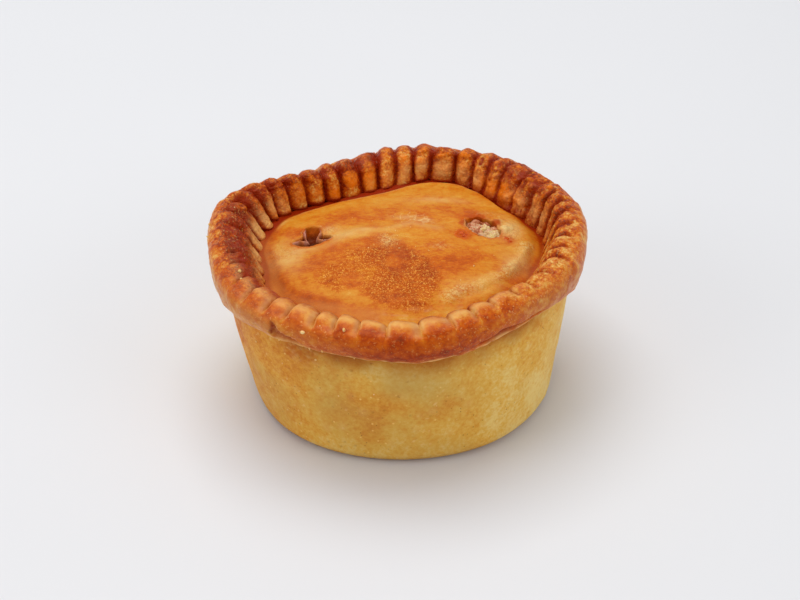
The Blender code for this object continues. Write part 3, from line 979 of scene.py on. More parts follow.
# Outline of the speckled, darker patch, going round it.
PATCH_OUTLINE = (
    (-0.0193, -0.004), (-0.0203, -0.0098), (-0.0196, -0.015), (-0.014, -0.0172), (-0.004, -0.0211),
    (0.0036, -0.0224), (0.0068, -0.021), (0.009, -0.0158), (0.0084, -0.008), (0.003, -0.002),
    (-0.0034, 0.0036), (-0.007, 0.002), (-0.0115, -0.001))

# Tinted places on the lid: x and y of the middle, half sizes along them, all in millimetres, and strength.
PALE_PLACES = (
    ((-25.5, -2.0), (2.6, 4.5), 0.2), ((-22.5, -5.0), (3.2, 3.0), 0.22), ((-2.3, 0.3), (1.3, 0.8), 0.4),
    ((1.8, 11.2), (2.4, 0.7), 0.35), ((5.9, 9.8), (1.6, 0.6), 0.3), ((26.5, -5.0), (2.4, 3.0), 0.3),
    ((25.2, 8.2), (1.7, 2.8), 0.6), ((17.0, -15.0), (3.5, 1.8), 0.25), ((-12.0, 4.0), (5.0, 1.6), 0.25),
    ((9.0, 20.5), (6.0, 1.2), 0.3), ((-20.5, -1.5), (3.5, 1.0), 0.3), ((-14.5, 5.5), (2.0, 2.0), 0.25))
GOLD_PLACES = (
    ((14.0, -6.0), (7.0, 6.0), 0.2), ((-2.0, 14.5), (10.0, 3.2), 0.2), ((-23.0, -12.0), (4.0, 3.5), 0.16),
    ((9.0, -9.0), (3.0, 5.0), 0.14), ((17.0, 15.0), (5.0, 2.5), 0.12), ((-16.0, 9.0), (5.0, 2.5), 0.1),
    ((-23.5, 7.0), (2.6, 1.4), 0.26), ((-2.0, -4.0), (4.0, 3.0), 0.1), ((0.0, -15.5), (3.5, 3.0), 0.1))

# Crumbly places on the lid, in the same way.
CRUMBLY_PLACES = (
    ((-2.2, 0.9), (1.3, 1.7), 1.0), ((-15.4, 6.6), (1.5, 1.1), 0.8), ((-24.6, -1.5), (2.6, 2.4), 0.5),
    ((25.2, 8.0), (1.9, 2.8), 1.0), ((20.5, 14.6), (2.4, 0.9), 0.5), ((9.5, -1.6), (1.5, 0.6), 0.5))

# Burnt orange places on the lid, in the same way.
AMBER_PLACES = (
    ((24.8, 3.3), (0.9, 1.2), 0.9), ((14.6, 4.0), (1.7, 1.8), 0.45), ((14.6, 11.3), (1.4, 1.3), 0.5),
    ((18.4, 14.4), (2.4, 1.0), 0.5), ((-25.2, 8.6), (1.6, 1.2), 0.4), ((-14.5, -1.6), (2.4, 0.9), 0.35))

# Dry squiggles of flour: the same, as masks.
SQUIGGLE_PLACES = (
    ((1.8, 11.2), (2.6, 1.6), 1.0), ((5.9, 9.8), (2.0, 1.4), 0.9), ((8.6, -1.0), (1.6, 1.2), 0.6),
    ((-2.3, 0.3), (1.4, 1.0), 0.7))


def outline_depth(x, y, outline):
    """Distance inwards from a closed outline; outside it the distance is negative."""
    inside = np.zeros(np.shape(x), dtype=bool)
    closed = (*outline, outline[0])
    for (x1, y1), (x2, y2) in zip(closed[:-1], closed[1:]):
        crosses = (y1 > y) != (y2 > y)
        level = y2 - y1 if y2 != y1 else 1e-9
        inside = inside ^ (crosses & (x < x1 + (y - y1) * (x2 - x1) / level))
    return np.where(inside, 1, -1) * line_distance(x, y, closed)


def strength_at(x, y, places):
    """Sum of the strengths of the places, each fading away from its own middle."""
    total = 0
    for (middle_x, middle_y), (half_x, half_y), strength in places:
        away = np.hypot((x / MM - middle_x) / half_x, (y / MM - middle_y) / half_y)
        total = total + strength * np.exp(-0.5 * away ** 2)
    return total


def plan(x, y):
    """Points of the plan at those places."""
    return np.stack([x, y, 0 * x], -1)


def pleated(x, y):
    """Strength of the pleated fold, and of the fine wrinkles that run along it."""
    away = line_distance(x, y, PLEAT_LINE) + 0.5 * MM * waves(plan(x, y) / MM, 3, 58)
    wrinkles = waves(plan(0.86 * x + 0.5 * y, (0.86 * y - 0.5 * x) / 4) / MM, 1.0, 57)
    return hump(away, 0, 0.9 * MM), 0.5 + 0.5 * wrinkles


def lid_surface(x, y):
    """Height of the lid's top and the place in the gutter, 0 on the panel's edge and 1 at the groove."""
    azimuth = np.arctan2(y + MIDDLE[1], x + MIDDLE[0])
    radius = np.hypot(y + MIDDLE[1], x + MIDDLE[0])
    groove = groove_radius(azimuth)
    at, between = partial(around, azimuth), partial(span, azimuth)
    panel = panel_radius(azimuth) + 0.6 * MM * at(176, 18)
    panel = panel + (1.2 * between(28, 68, 12) - 0.7 * at(86, 18)) * MM
    panel = panel - 0.5 * between(90, 152, 16) * MM
    point = plan(x, y) / MM
    wander = 0.45 * MM * waves(point, 6, 50)
    beyond = radius - panel + wander
    slope = beyond / (groove - panel)
    dome = PANEL_HEIGHT + (DOME_HEIGHT - PANEL_HEIGHT) * np.clip(1 - (radius / panel) ** 2, 0, 1)
    steep = between(42, 172, 20)
    start = (-2.0 + 1.3 * steep) * MM
    end = (1.3 + 0.6 * (groove - panel) / MM - 0.9 * steep) * MM
    fall = PANEL_HEIGHT - groove_height(azimuth) + (0.1 + 0.5 * steep) * MM
    height = dome - fall * rise(beyond, start, end)
    height += 0.24 * MM * waves(point, 11, 51) + 0.08 * MM * waves(point, 3.5, 52)
    fold = line_distance(x, y, FOLD_LINE)
    height += 0.3 * MM * hump(fold, 0, 1.5 * MM)
    height -= 0.3 * MM * hump(line_distance(x, y - 4.2 * MM, FOLD_LINE), 0, 1.8 * MM)
    pleat, wrinkles = pleated(x, y)
    height += pleat * (0.2 + 0.16 * wrinkles) * MM
    height -= 0.18 * MM * hump(line_distance(x - 1.6 * MM, y + 1.4 * MM, PLEAT_LINE), 0, 0.6 * MM)
    depth = outline_depth(x, y, PATCH_OUTLINE) + 0.9 * MM * waves(point, 3, 56)
    height += 0.12 * MM * rise(depth, -1.2 * MM, 1.5 * MM)
    front = between(-150, -40, 24)
    lines = waves(plan(radius / 3, azimuth * 6 * MM) / MM, 0.3, 54)
    height += 0.09 * MM * lines * front * rise(beyond, -0.8 * MM, MM)
    height += 0.04 * MM * rough(point, 1.1, 55)
    return height, slope, azimuth, beyond


def lid_marks(x, y, slope, azimuth, beyond):
    """Looks of the lid's points, from the plan."""
    at, between = partial(around, azimuth), partial(span, azimuth)
    point = plan(x, y) / MM
    ragged = 1.6 * waves(point, 4.4, 61) + 0.8 * waves(point, 1.6, 62)
    depth = outline_depth(x, y, PATCH_OUTLINE) / MM + ragged
    patch = rise(depth, -1.6, 2.6)
    clouds = rough(point, 6, 63)
    streaks = waves(plan(x / 3, y) / MM, 1.6, 67)
    baked = 0.44 + 0.29 * patch + strength_at(x, y, GOLD_PLACES) + 0.1 * clouds + 0.05 * streaks
    baked += 0.08 * patch * rise(waves(point, 4, 68), -0.2, 0.6)
    pleat, wrinkles = pleated(x, y)
    # Painted highlight along the ridge of the soft fold.
    fold = hump(line_distance(x, y - 0.6 * MM, FOLD_LINE), 0, 0.9 * MM)
    pale = strength_at(x, y, PALE_PLACES) + 0.16 * pleat * (0.35 + 0.9 * wrinkles) + 0.24 * fold
    crinkled = line_distance(x, y, PLEAT_LINE) + 0.7 * MM * waves(point, 2, 58)
    wrinkled = hump(crinkled, 0.2 * MM, MM)
    wrinkled = wrinkled * (0.75 + 0.5 * waves(point, 4, 59)) + strength_at(x, y, CRUMBLY_PLACES)
    pale *= (0.85 + 0.5 * waves(point, 2.5, 64)) * (1 - 0.7 * patch)
    # Painted highlight along the back edge of the panel.
    back_edge_highlight = between(55, 158, 14) * hump(beyond, -0.3 * MM, 0.45 * MM)
    pale += 0.35 * back_edge_highlight * (0.7 + 0.6 * waves(point, 3, 69))
    squiggle = fade(rough(point, 1.6, 70, 2) / 0.07) * strength_at(x, y, SQUIGGLE_PLACES)
    pale += 0.65 * squiggle
    gutter = rise(beyond, -0.6 * MM, 1.6 * MM)
    rosy = between(-158, -98, 14) * gutter * 0.7 * (0.8 + 0.5 * waves(point, 4, 65))
    rosy += 0.35 * between(165, 215, 14) * rise(beyond, -1.5 * MM, 0.5 * MM)
    shade = between(168, 236, 20) * rise(beyond, -3.2 * MM, 0.6 * MM)
    baked += 0.3 * shade
    lines = waves(plan(np.hypot(x, y) / 3, azimuth * 6 * MM) / MM, 0.3, 54)
    front_gold = between(-100, -40, 16) * gutter
    baked += front_gold * 0.14 * lines + 0.08 * gutter
    pale += 0.25 * front_gold * rise(lines, 0.0, 0.7)
    # Painted shade in the gap between the lid and the rim: at the back, the back right and the sides.
    back_gap_shade = between(58, 164, 16) * rise(slope, -0.12, 0.35)
    right_gap_shade = at(44, 20) * rise(slope + 0.3 * waves(point, 1.6, 60), 0.0, 0.7)
    side_gap_shade = rise(slope, 0.45, 1.0)
    stain_and_shade = 0.92 * back_gap_shade + 0.95 * right_gap_shade + 0.55 * side_gap_shade
    baked += 0.16 * rise(beyond, -2.2 * MM, 0.4 * MM) * (1 - front_gold)
    flecks_and_glints = patch * (0.15 + 0.85 * rise(waves(point, 5, 66) + (x - y) / (26 * MM), -0.4, 0.7)) + 0.1
    amber = strength_at(x, y, AMBER_PLACES) * (0.8 + 0.6 * waves(point, 1.2, 48))
    baked += 0.3 * amber
    return {
        "baked": baked, "pale": pale, "rosy": rosy, "stain_and_shade": stain_and_shade, "flecks_and_glints": flecks_and_glints, "wrinkled": wrinkled,
        "amber": amber}


def clipped(marks):
    return {mark: np.clip(values, 0, 1) for mark, values in marks.items()}


def lid_piece(name, top, under_height, look, marks):
    """A closed piece: the given top, an upright side and a flat underside."""
    under = top[:1].copy()
    under[..., 2] = under_height
    marks = {mark: np.concatenate([values[:1], values]) for mark, values in marks.items()}
    return capped_grid(name, np.concatenate([under, top]), look, clipped(marks))


def near_vents(x, y):
    """1 well inside the patches of lid that are modelled finely, 0 outside them."""
    inside = 0 * x
    for place, reach in ((SLIT_PLACE, SLIT_REACH), (OPEN_PLACE, OPEN_REACH)):
        away = np.hypot(x - place[0], y - place[1])
        inside = np.maximum(inside, rise(away, reach - VENT_SEAM_OUTER, reach - VENT_SEAM_INNER))
    return inside


def build_lid(look):
    azimuth = np.arange(LID_COLUMNS) * 2 * pi / LID_COLUMNS
    share = np.linspace(1, 0, LID_ROWS, endpoint=False)[:, None]
    radius = (groove_radius(azimuth)[None, :] + LID_UNDER_CRIMPS) * share
    flat = placed(azimuth[None, :] + 0 * share, radius, 0 * radius)
    x, y = flat[..., 0], flat[..., 1]
    height, slope, bearing, beyond = lid_surface(x, y)
    height -= VENT_SINK * near_vents(x, y)
    top = np.stack([x, y, height], -1)
    marks = lid_marks(x, y, slope, bearing, beyond)
    return lid_piece("lid_crust", top, LID_UNDERSIDE, look, marks), top


# Torn outline of the slit vent, and the webs of pastry drawn into it, in millimetres from its middle.
SLIT_OUTLINE = (
    (-1.9, 4.2), (-0.3, 4.6), (1.6, 4.2), (2.1, 2.0), (2.6, 0.5), (4.2, 0.4), (4.8, -0.2), (3.7, -1.9),
    (2.0, -3.4), (-0.4, -4.0), (-2.6, -3.3), (-4.3, -2.1), (-4.2, -0.9), (-2.6, 0.3), (-2.1, 1.7))
SLIT_WEBS = (
    (((-1.9, 4.2), (-1.6, 1.9), (-0.9, 0.5)), 0.4), (((-1.1, 0.3), (-2.0, -0.4), (-4.2, -1.3)), 0.66),
    (((1.8, 4.2), (1.8, 2.2), (1.2, 0.8)), 0.54),
    (((1.3, 0.6), (2.0, -0.5), (3.2, -1.2), (4.8, -0.3)), 0.46))

# Torn outline of the open vent and the curl of pastry on its left, in millimetres from its middle.
OPEN_OUTLINE = (
    (-3.6, -0.8), (-3.4, 1.8), (-2.6, 3.4), (-0.8, 4.1), (1.2, 3.6), (2.9, 2.7), (3.6, 0.9), (4.2, -1.4),
    (3.8, -3.9), (1.6, -5.0), (-0.6, -4.5), (-2.3, -2.9))
OPEN_CURL = ((-3.4, 1.9), (-3.7, -0.5), (-2.3, -2.6))

# Lumps of pastry beside the open vent: place, half sizes, height and how pale, in millimetres.
OPEN_LUMPS = (
    ((5.6, -0.4), (1.1, 1.0), 0.6, 0.8), ((4.3, 3.2), (1.1, 0.9), 0.45, 0.4),
    ((4.6, -1.8), (0.9, 0.9), 0.35, 0.35), ((-0.2, 5.2), (0.6, 0.4), 0.3, 0.55),
    ((6.6, 1.6), (0.8, 0.8), 0.3, 0.25))


def vent_patch(name, place, reach, look, shape):
    """A closed, finely meshed patch of lid round a vent; shape gives its extra height and looks."""
    bearing = np.arange(VENT_COLUMNS) * 2 * pi / VENT_COLUMNS
    share = np.linspace(1, 0, VENT_ROWS, endpoint=False)[:, None]
    x = place[0] + reach * share * np.cos(bearing)[None, :]
    y = place[1] + reach * share * np.sin(bearing)[None, :]
    height, slope, azimuth, beyond = lid_surface(x, y)
    marks = lid_marks(x, y, slope, azimuth, beyond)
    extra = shape((x - place[0]) / MM, (y - place[1]) / MM, marks)
    edge = rise(share, 1.0, VENT_FULL_SHARE)
    top = np.stack([x, y, height + extra * MM * edge + VENT_OVER_LID], -1)
    return lid_piece(name, top, VENT_UNDERSIDE, look, marks)


def slit_shape(x, y, marks):
    """Torn star: hollows between thin webs of pastry, with jelly at the bottom."""
    point = plan(x, y)
    x = x + 0.26 * waves(point, 1.3, 71) + 0.1 * waves(point, 0.5, 74)
    y = y + 0.26 * waves(point, 1.3, 72) + 0.1 * waves(point, 0.5, 75)
    depth = outline_depth(x, y, SLIT_OUTLINE)
    hollow = rise(depth, -0.15 - 0.25 * rise(-y, 0.5, 2.0), 0.5)
    far_wall = rise(y, 1.8, 4.4) * rise(1.8 - np.abs(x), 0, 0.8)
    floor = -2.5 + 1.7 * far_wall * rise(y, 2.4, 4.4) + 2.0 * rise(-y, 0.8, 3.2)
    floor = floor + 0.16 * waves(point, 0.9, 73)
    web = 0 * x
    for line, half_width in SLIT_WEBS:
        web = np.maximum(web, fade(line_distance(x, y, line) / half_width, 2.6))
    web_top = -0.05 - 1.7 * fade(np.hypot(x, y + 0.2) / 1.6) + 0.26 * waves(point, 0.7, 76)
    inside = floor + (web_top - floor) * web
    brink = fade((depth + 0.3) / 0.25)
    lip = 0.24 * brink - 0.5 * fade(np.hypot(x / 5.2, y / 3.8))
    near = fade(np.hypot(x / 4.6, y / 4.0), 4)
    deep = fade(np.hypot(x / 1.5, (y - 0.2) / 2.2))
    # Jelly at the bottom of the hollows; its dark tone also reaches up their walls as painted shade.
    jelly = 0.97 * rise(hollow, 0.06, 0.4) * (1 - 0.9 * web * (1 - 0.7 * deep))
    marks["jelly"] = jelly * (1 - 0.9 * rise(y, 3.0, 4.3))
    marks["amber"] += 0.9 * hollow * rise(y, 2.2, 3.8) + 0.25 * near * (1 - hollow)
    marks["amber"] += 0.7 * fade((depth + 0.4) / 0.45) * rise(-y, 0.3, 2.0)
    # Painted shade, darkest in the middle of the slit.
    marks["deep"] = hollow * (1 - web) * fade(np.hypot(x / 1.5, (y - 0.1) / 1.9))
    marks["web"] = rise(web, 0.5, 0.92) * rise(hollow, 0.1, 0.5) * (0.65 + 0.45 * waves(point, 0.7, 77))
    # Painted shade on the upper walls of the hollows.
    marks["stain_and_shade"] = 0.35 * rise(hollow, 0.02, 0.25) * (1 - rise(hollow, 0.5, 1.0)) * (1 - web)
    marks["pale"] = marks["pale"] * (1 - hollow) + 0.22 * brink * (0.7 + 0.8 * waves(point, 0.9, 78))
    marks["flecks_and_glints"] += 0.25 * near * (1 - hollow)
    return lip + hollow * inside


def open_shape(x, y, marks):
    """Wide torn hole with a curled left edge, pale lumps to its right, and burnt spots."""
    point = plan(x, y)
    warp_x = x + 0.4 * waves(point, 1.8, 81) + 0.15 * waves(point, 0.6, 87)
    warp_y = y + 0.4 * waves(point, 1.8, 82) + 0.15 * waves(point, 0.6, 88)
    depth = outline_depth(warp_x, warp_y, OPEN_OUTLINE)
    hollow = rise(depth, -0.2, 0.6)
    curl = fade(line_distance(warp_x, warp_y, OPEN_CURL) / 0.34)
    lump_height, lump_pale = 0, 0
    for (middle_x, middle_y), (half_x, half_y), rises, paleness in OPEN_LUMPS:
        away = np.hypot((warp_x - middle_x) / half_x, (warp_y - middle_y) / half_y)
        lump_height += rises * fade(away, 3)
        lump_pale += paleness * fade(away, 4)
    crumbs = rise(0.6 - bubbles(point, 0.8, 84), 0, 0.4)
    crumbs = crumbs * fade(np.hypot((x - 5.8) / 1.3, (y + 4.2) / 1.4))
    spot_away = np.hypot((warp_x + 4.3) / 1.3, (warp_y + 4.6) / 1.8)
    red_spot = fade(spot_away, 4)
    spot_ring = fade((spot_away - 1.05) / 0.28)
    burnt = fade(np.hypot((warp_x + 1.3) / 2.2, (warp_y - 4.2) / 0.9), 3)
    burnt += 1.2 * fade(np.hypot((warp_x - 3.6) / 1.0, (warp_y - 2.2) / 1.5), 3)
    burnt += 0.6 * fade(np.hypot((warp_x + 4.2) / 0.8, (warp_y - 0.6) / 1.2), 3)
    ring = fade((depth + 0.35) / 0.4)
    wrinkles = rough(point, 0.8, 89) * fade(np.hypot(x - 1.0, y) / 6.5, 4)
    marks["stain_and_shade"] = marks["stain_and_shade"] * rise(np.hypot(x, y), 5.0, 8.0) + 0.36 * burnt
    marks["jelly"] = 0.75 * hollow
    marks["amber"] += 0.5 * ring * rise(-y, -1.0, 3.0) + 0.8 * burnt
    marks["amber"] += 0.65 * spot_ring + 0.45 * red_spot
    marks["pale"] += lump_pale * (1 - hollow) + 0.75 * curl + 0.2 * ring * rise(x, 0, 2)
    marks["baked"] += 0.4 * red_spot + 0.35 * crumbs + 0.6 * burnt + 0.12 * ring
    marks["flecks_and_glints"] += 0.5 * ring + 0.6 * crumbs
    raised = 0.5 * curl * (1 - 0.5 * hollow) + lump_height + 0.3 * crumbs
    raised = raised + 0.22 * spot_ring - 0.15 * red_spot
    return raised - 1.5 * hollow + 0.2 * wrinkles


# ---------------------------------------------------------------- case

def build_case(look):
    azimuth = np.arange(WALL_COLUMNS) * 2 * pi / WALL_COLUMNS
    wall = wall_radius(azimuth)
    foot = foot_radius(azimuth)
    top_height = lip_height(azimuth) + WALL_TUCK
    radii, heights, shares = [], [], []
    for turn in range(0, 90, FOOT_TURN):
        radii.append(foot - FOOT_ROUNDING * (1 - sin(radians(turn))))
        heights.append(FOOT_ROUNDING * (1 - cos(radians(turn))) + 0 * azimuth)
        shares.append(0.0)
    for step in range(WALL_ROWS):
        share = step / (WALL_ROWS - 1)
        radii.append(wall + (foot - wall) * (1 - share) ** WALL_BELLY)
        heights.append(FOOT_ROUNDING + (top_height - FOOT_ROUNDING) * share)
        shares.append(share)
    radius = np.array(radii)
    height = np.array(heights)
    share = np.array(shares)[:, None] + 0 * radius
    bearing = azimuth[None, :] + 0 * radius
    point = placed(bearing, radius, height) / MM
    at, between, near = partial(around, bearing), partial(span, bearing), partial(hump, share)
    bend = 0.22 * waves(point, 16, 91) + 0.1 * waves(point, 5, 92)
    bend += 0.035 * rough(point, 1.6, 93)
    seam = fade(turn_between(bearing, -66 + 6 * share) / 1.1) * rise(share, 0.35, 0.8)
    flap_bubbles = rise(0.55 - bubbles(point, 1.3, 94), 0, 0.4)
    flap_bubbles = flap_bubbles * at(-120, 6) * near(0.88, 0.09)
    pits = rise(0.17 - bubbles(point, 2.4, 95), 0, 0.1) * rise(waves(point, 9, 96), -0.3, 0.4)
    blisters = rise(0.3 - bubbles(point, 6, 97), 0, 0.25)
    under_lip = rise(share, 0.9, 0.97)
    bend = bend - 0.1 * seam + 0.28 * flap_bubbles - 0.16 * pits + 0.14 * blisters - 0.15 * under_lip
    bend *= rise(height, 0.0, 3.0 * MM)
    radius = radius + bend * MM
    grid = placed(bearing, radius, height)
    hidden = placed(azimuth, (wall - CASE_TOP_INSET) * CASE_TOP_SHARE, 0 * azimuth + CASE_TOP)
    grid = np.concatenate([grid, [hidden]])

    uneven_shadow = 0.8 + 0.5 * waves(point, 4, 107)
    baked = 0.4 + 0.26 * rough(point, 15, 101) + 0.1 * waves(point, 5, 102)
    baked += 0.36 * at(-148, 20)
    baked += 0.22 * at(-101, 9) * near(0.4, 0.25)
    # Paler at the front right, and lighter near the foot as painted bounce light from the floor.
    baked = baked - 0.12 * at(-40, 22) - 0.16 * near(0.0, 0.16)
    # Darker under the lip at the front: painted shadow of the lip, with some browning.
    baked += 0.5 * rise(share, 0.8, 0.95) * between(-118, -40, 26) * uneven_shadow
    baked += 0.25 * at(-120, 7) * near(0.86, 0.12)
    baked += 0.25 * at(-78, 5) * near(0.45, 0.12)
    olive = at(-92, 18) * near(0.62, 0.24) * (0.6 + 0.6 * waves(point, 8, 104))
    olive = 0.75 * olive + 0.3 * rise(waves(point, 13, 105), 0.1, 0.7)
    uneven = point + 0.5 * waves(point, 1.0, 106)[..., None]
    specks = rise(0.2 - bubbles(uneven, 2.0, 98), 0, 0.12) * rise(waves(point, 6, 103), -0.3, 0.3)
    pale = 0.5 * specks + 0.12 * blisters + 0.3 * flap_bubbles
    # Painted shadow of the lip on the front of the wall, painted contact shade along the foot with some
    # browning, and painted shade right under the lip, with darker pits.
    lip_shadow_front = rise(share, 0.7, 0.92) * between(-125, -40, 24) * uneven_shadow
    foot_edge = 0.45 * rise(2.2 * MM - height, 0, 1.8 * MM)
    stain_and_shade = 0.55 * rise(share, 0.93, 0.985) + 0.35 * pits + 0.78 * lip_shadow_front + foot_edge
    marks = {"baked": baked, "pale": pale, "stain_and_shade": stain_and_shade, "olive": olive}
    marks = {mark: np.concatenate([values, values[-1:]]) for mark, values in marks.items()}
    return capped_grid("case_wall", grid, look, clipped(marks)), grid[:-1], share


# ---------------------------------------------------------------- small pieces

# Rows and columns of the meshes of small things.
PORK_MESH = (44, 66)
BEAD_MESH = (26, 40)
CRUMB_MESH = (10, 14)
GRAIN_MESH = (6, 8)

# Lumps run from near their lowest point to near their highest, in degrees.
LUMP_CLIMB = 88


def lump(middle, size, seed, mesh, crumbly=0.0):
    """Points of one rounded, uneven lump, as a grid from bottom to top; sizes are half lengths."""
    rows, columns = mesh
    climb = np.linspace(-LUMP_CLIMB, LUMP_CLIMB, rows)[:, None] * pi / 180
    bearing = np.arange(columns)[None, :] * 2 * pi / columns
    level = np.cos(climb)
    direction = np.stack([level * np.cos(bearing), level * np.sin(bearing), np.sin(climb) + 0 * bearing], -1)
    moved = direction + seed
    bulge = 1 + 0.16 * waves(direction + seed * 3.1, 0.8, seed) + 0.06 * waves(moved, 0.35, seed + 5)
    grit = crumbly * (0.2 * waves(moved, 0.55, seed + 6) + 0.11 * waves(moved, 0.24, seed + 7))
    return np.array(middle) + direction * (bulge + grit)[..., None] * np.array(size)


def joined_lumps(name, lumps, look, tones):
    """One piece from several lumps, each with its own baked value."""
    points, faces, values = [], [], []
    for grid, value in zip(lumps, tones):
        start = sum(len(block) for block in points)
        rows, columns = grid.shape[:2]
        block = np.concatenate([grid.reshape(-1, 3), grid[:1].mean(1), grid[-1:].mean(1)])
        faces += [tuple(start + corner for corner in quad) for quad in grid_faces(rows, columns)]
        poles = start + rows * columns
        top_ring = start + (rows - 1) * columns
        for step in range(columns):
            after = (step + 1) % columns
            faces.append((poles, start + after, start + step))
            faces.append((poles + 1, top_ring + step, top_ring + after))
        points.append(block)
        values.append(np.full(len(block), value))
    return new_piece(name, np.concatenate(points), faces, look, {"baked": np.concatenate(values)})


# Lumps of pork: place from the vent's middle, half sizes, all in millimetres, and baked value.
PORK_LUMPS = (
    ((-2.3, 1.1, 0.0), (1.2, 1.5, 1.15), 0.62), ((-2.0, -0.6, -0.1), (1.3, 1.3, 1.15), 0.5),
    ((-1.0, 2.5, 0.0), (1.4, 0.9, 1.05), 0.7), ((-0.8, 0.6, -0.2), (1.2, 1.4, 1.2), 0.42),
    ((-0.7, -1.8, -0.1), (1.1, 1.2, 1.2), 0.62), ((0.7, -0.7, 0.1), (1.3, 1.2, 1.25), 0.12),
    ((0.6, 0.8, -0.1), (1.0, 1.1, 1.1), 0.3), ((0.2, -3.2, -0.1), (1.3, 1.2, 1.15), 0.34),
    ((1.6, -2.0, 0.0), (1.2, 1.2, 1.2), 0.2), ((2.9, -2.6, 0.0), (1.3, 1.5, 1.1), 0.08),
    ((1.9, -3.9, -0.1), (1.2, 0.8, 1.1), 0.02), ((1.1, 2.2, -0.5), (1.1, 1.0, 1.1), 0.85),
    ((2.6, -0.2, -0.4), (1.1, 1.3, 1.1), 0.55), ((-1.9, -2.4, -0.4), (1.0, 1.0, 1.1), 0.75))
PORK_LEVEL = 0.0319
PORK_SEED = 200

JELLY_SUNK = 0.15 * MM
JELLY_SEED = 300


def build_pork(look):
    lumps, tones = [], []
    for number, (place, size, value) in enumerate(PORK_LUMPS):
        middle = (OPEN_PLACE[0] + place[0] * MM, OPEN_PLACE[1] + place[1] * MM, PORK_LEVEL + place[2] * MM)
        lumps.append(lump(middle, np.array(size) * MM, PORK_SEED + number, PORK_MESH, 1.0))
        tones.append(value)
    return joined_lumps("pork_lumps", lumps, look, tones)


# Beads of jelly on the lid: place and half sizes in plan, and half height, all in millimetres.
JELLY_BEADS = (
    ((14.3, 4.4), (0.8, 0.8, 0.34)), ((15.1, 3.5), (0.8, 0.7, 0.34)), ((24.4, 3.8), (0.6, 0.5, 0.34)),
    ((25.2, 2.8), (0.55, 0.5, 0.34)))


def build_jelly(look):
    lumps = []
    for number, ((x, y), size) in enumerate(JELLY_BEADS):
        height = lid_surface(np.array([x * MM]), np.array([y * MM]))[0]
        middle = (x * MM, y * MM, height[0] - JELLY_SUNK)
        lumps.append(lump(middle, np.array(size) * MM, JELLY_SEED + number, BEAD_MESH, 1.0))
    return joined_lumps("baked_jelly_beads", lumps, look, [0.5] * len(lumps))


FLOUR_SEED = 23

# Crumbs and grains: spread of their sizes, how far they stand out of the crust, and number of their shapes.
CRUMB_SPREAD = (0.7, 1.15)
CRUMB_LIFT = 0.3
GRAIN_SPREAD = (0.55, 1.25)
GRAIN_LIFT = 0.25
GRAIN_SHAPES = 997

# Rows of the rim, counted from the lip, that lie clear of the groove and can hold flour.
CLEAR_ROWS = 85

# Crumbs of flour on the rim: azimuth, station and half size in millimetres.
RIM_CRUMBS = (
    (-117.5, 1.2, 0.46), (-105.5, 1.55, 0.4), (-112, 0.45, 0.26), (-116, 0.4, 0.24), (-126, 0.3, 0.24),
    (-151, 2.05, 0.42), (-147, 1.95, 0.24), (178, 1.3, 0.3), (184, 1.2, 0.24))


def placed_crumbs(grid, station):
    """Where on the rim the crumbs lie: numbers of the nearest points of the grid, and half sizes."""
    bearing = np.arctan2(grid[..., 1] + MIDDLE[1], grid[..., 0] + MIDDLE[0])
    found = []
    for middle, height, half in RIM_CRUMBS:
        away = np.hypot(turn_between(bearing, middle) * 0.75, (station - height) * 6)
        found.append((int(away.argmin()), half))
    return found


def scattered(rim_grid, rim_station, surfaces, look):
    """Flour and crumbs lying on the crust, as one mesh of small uneven grains."""
    chance = np.random.default_rng(FLOUR_SEED)
    rim_normal = grid_normals(rim_grid).reshape(-1, 3)
    lumps = []
    for pick, half in placed_crumbs(rim_grid, rim_station):
        size = half * MM * chance.uniform(*CRUMB_SPREAD, 3)
        base = rim_grid.reshape(-1, 3)[pick] + rim_normal[pick] * size[2] * CRUMB_LIFT
        lumps.append(lump((0, 0, 0), size, pick % GRAIN_SHAPES, CRUMB_MESH, 1.0) + base)
    for grid, weight, count, smallest, largest in surfaces:
        share = np.clip(weight, 0, None).ravel()
        picks = chance.choice(len(share), count, p=share / share.sum())
        flat, normals = grid.reshape(-1, 3), grid_normals(grid).reshape(-1, 3)
        for pick in picks:
            half = chance.uniform(smallest, largest) * MM
            size = half * chance.uniform(*GRAIN_SPREAD, 3)
            grain = lump((0, 0, 0), size, int(pick) % GRAIN_SHAPES, GRAIN_MESH)
            lumps.append(grain + flat[pick] + normals[pick] * size[2] * GRAIN_LIFT)
    return joined_lumps("flour_grains", lumps, look, [0.5] * len(lumps))


# ---------------------------------------------------------------- stage

# Camera: what it looks at, how far off and how steeply, lens and film width in millimetres.
CAMERA_AIM = (0.0004, 0.0, 0.01866)
CAMERA_AWAY = 0.388
CAMERA_PITCH = 33.5
CAMERA_LENS = 76.5
CAMERA_FILM = 36
CAMERA_NEAREST = 0.01

# Lights: name, place, width and power. The sky's colour and strength fill in.
LIGHTS = (
    ("top_softbox", (-0.1, 0.18, 0.8), 0.6, 4.0), ("left_softbox", (-0.75, -0.35, 0.42), 0.5, 1.4),
    ("right_softbox", (0.75, -0.45, 0.4), 0.5, 1.4))
LIGHTS_AIM = (0, 0, 0.02)
SKY_COLOUR = (0.985, 0.99, 1.0, 1)
SKY_STRENGTH = 0.53
FLOOR_REACH = 3.0


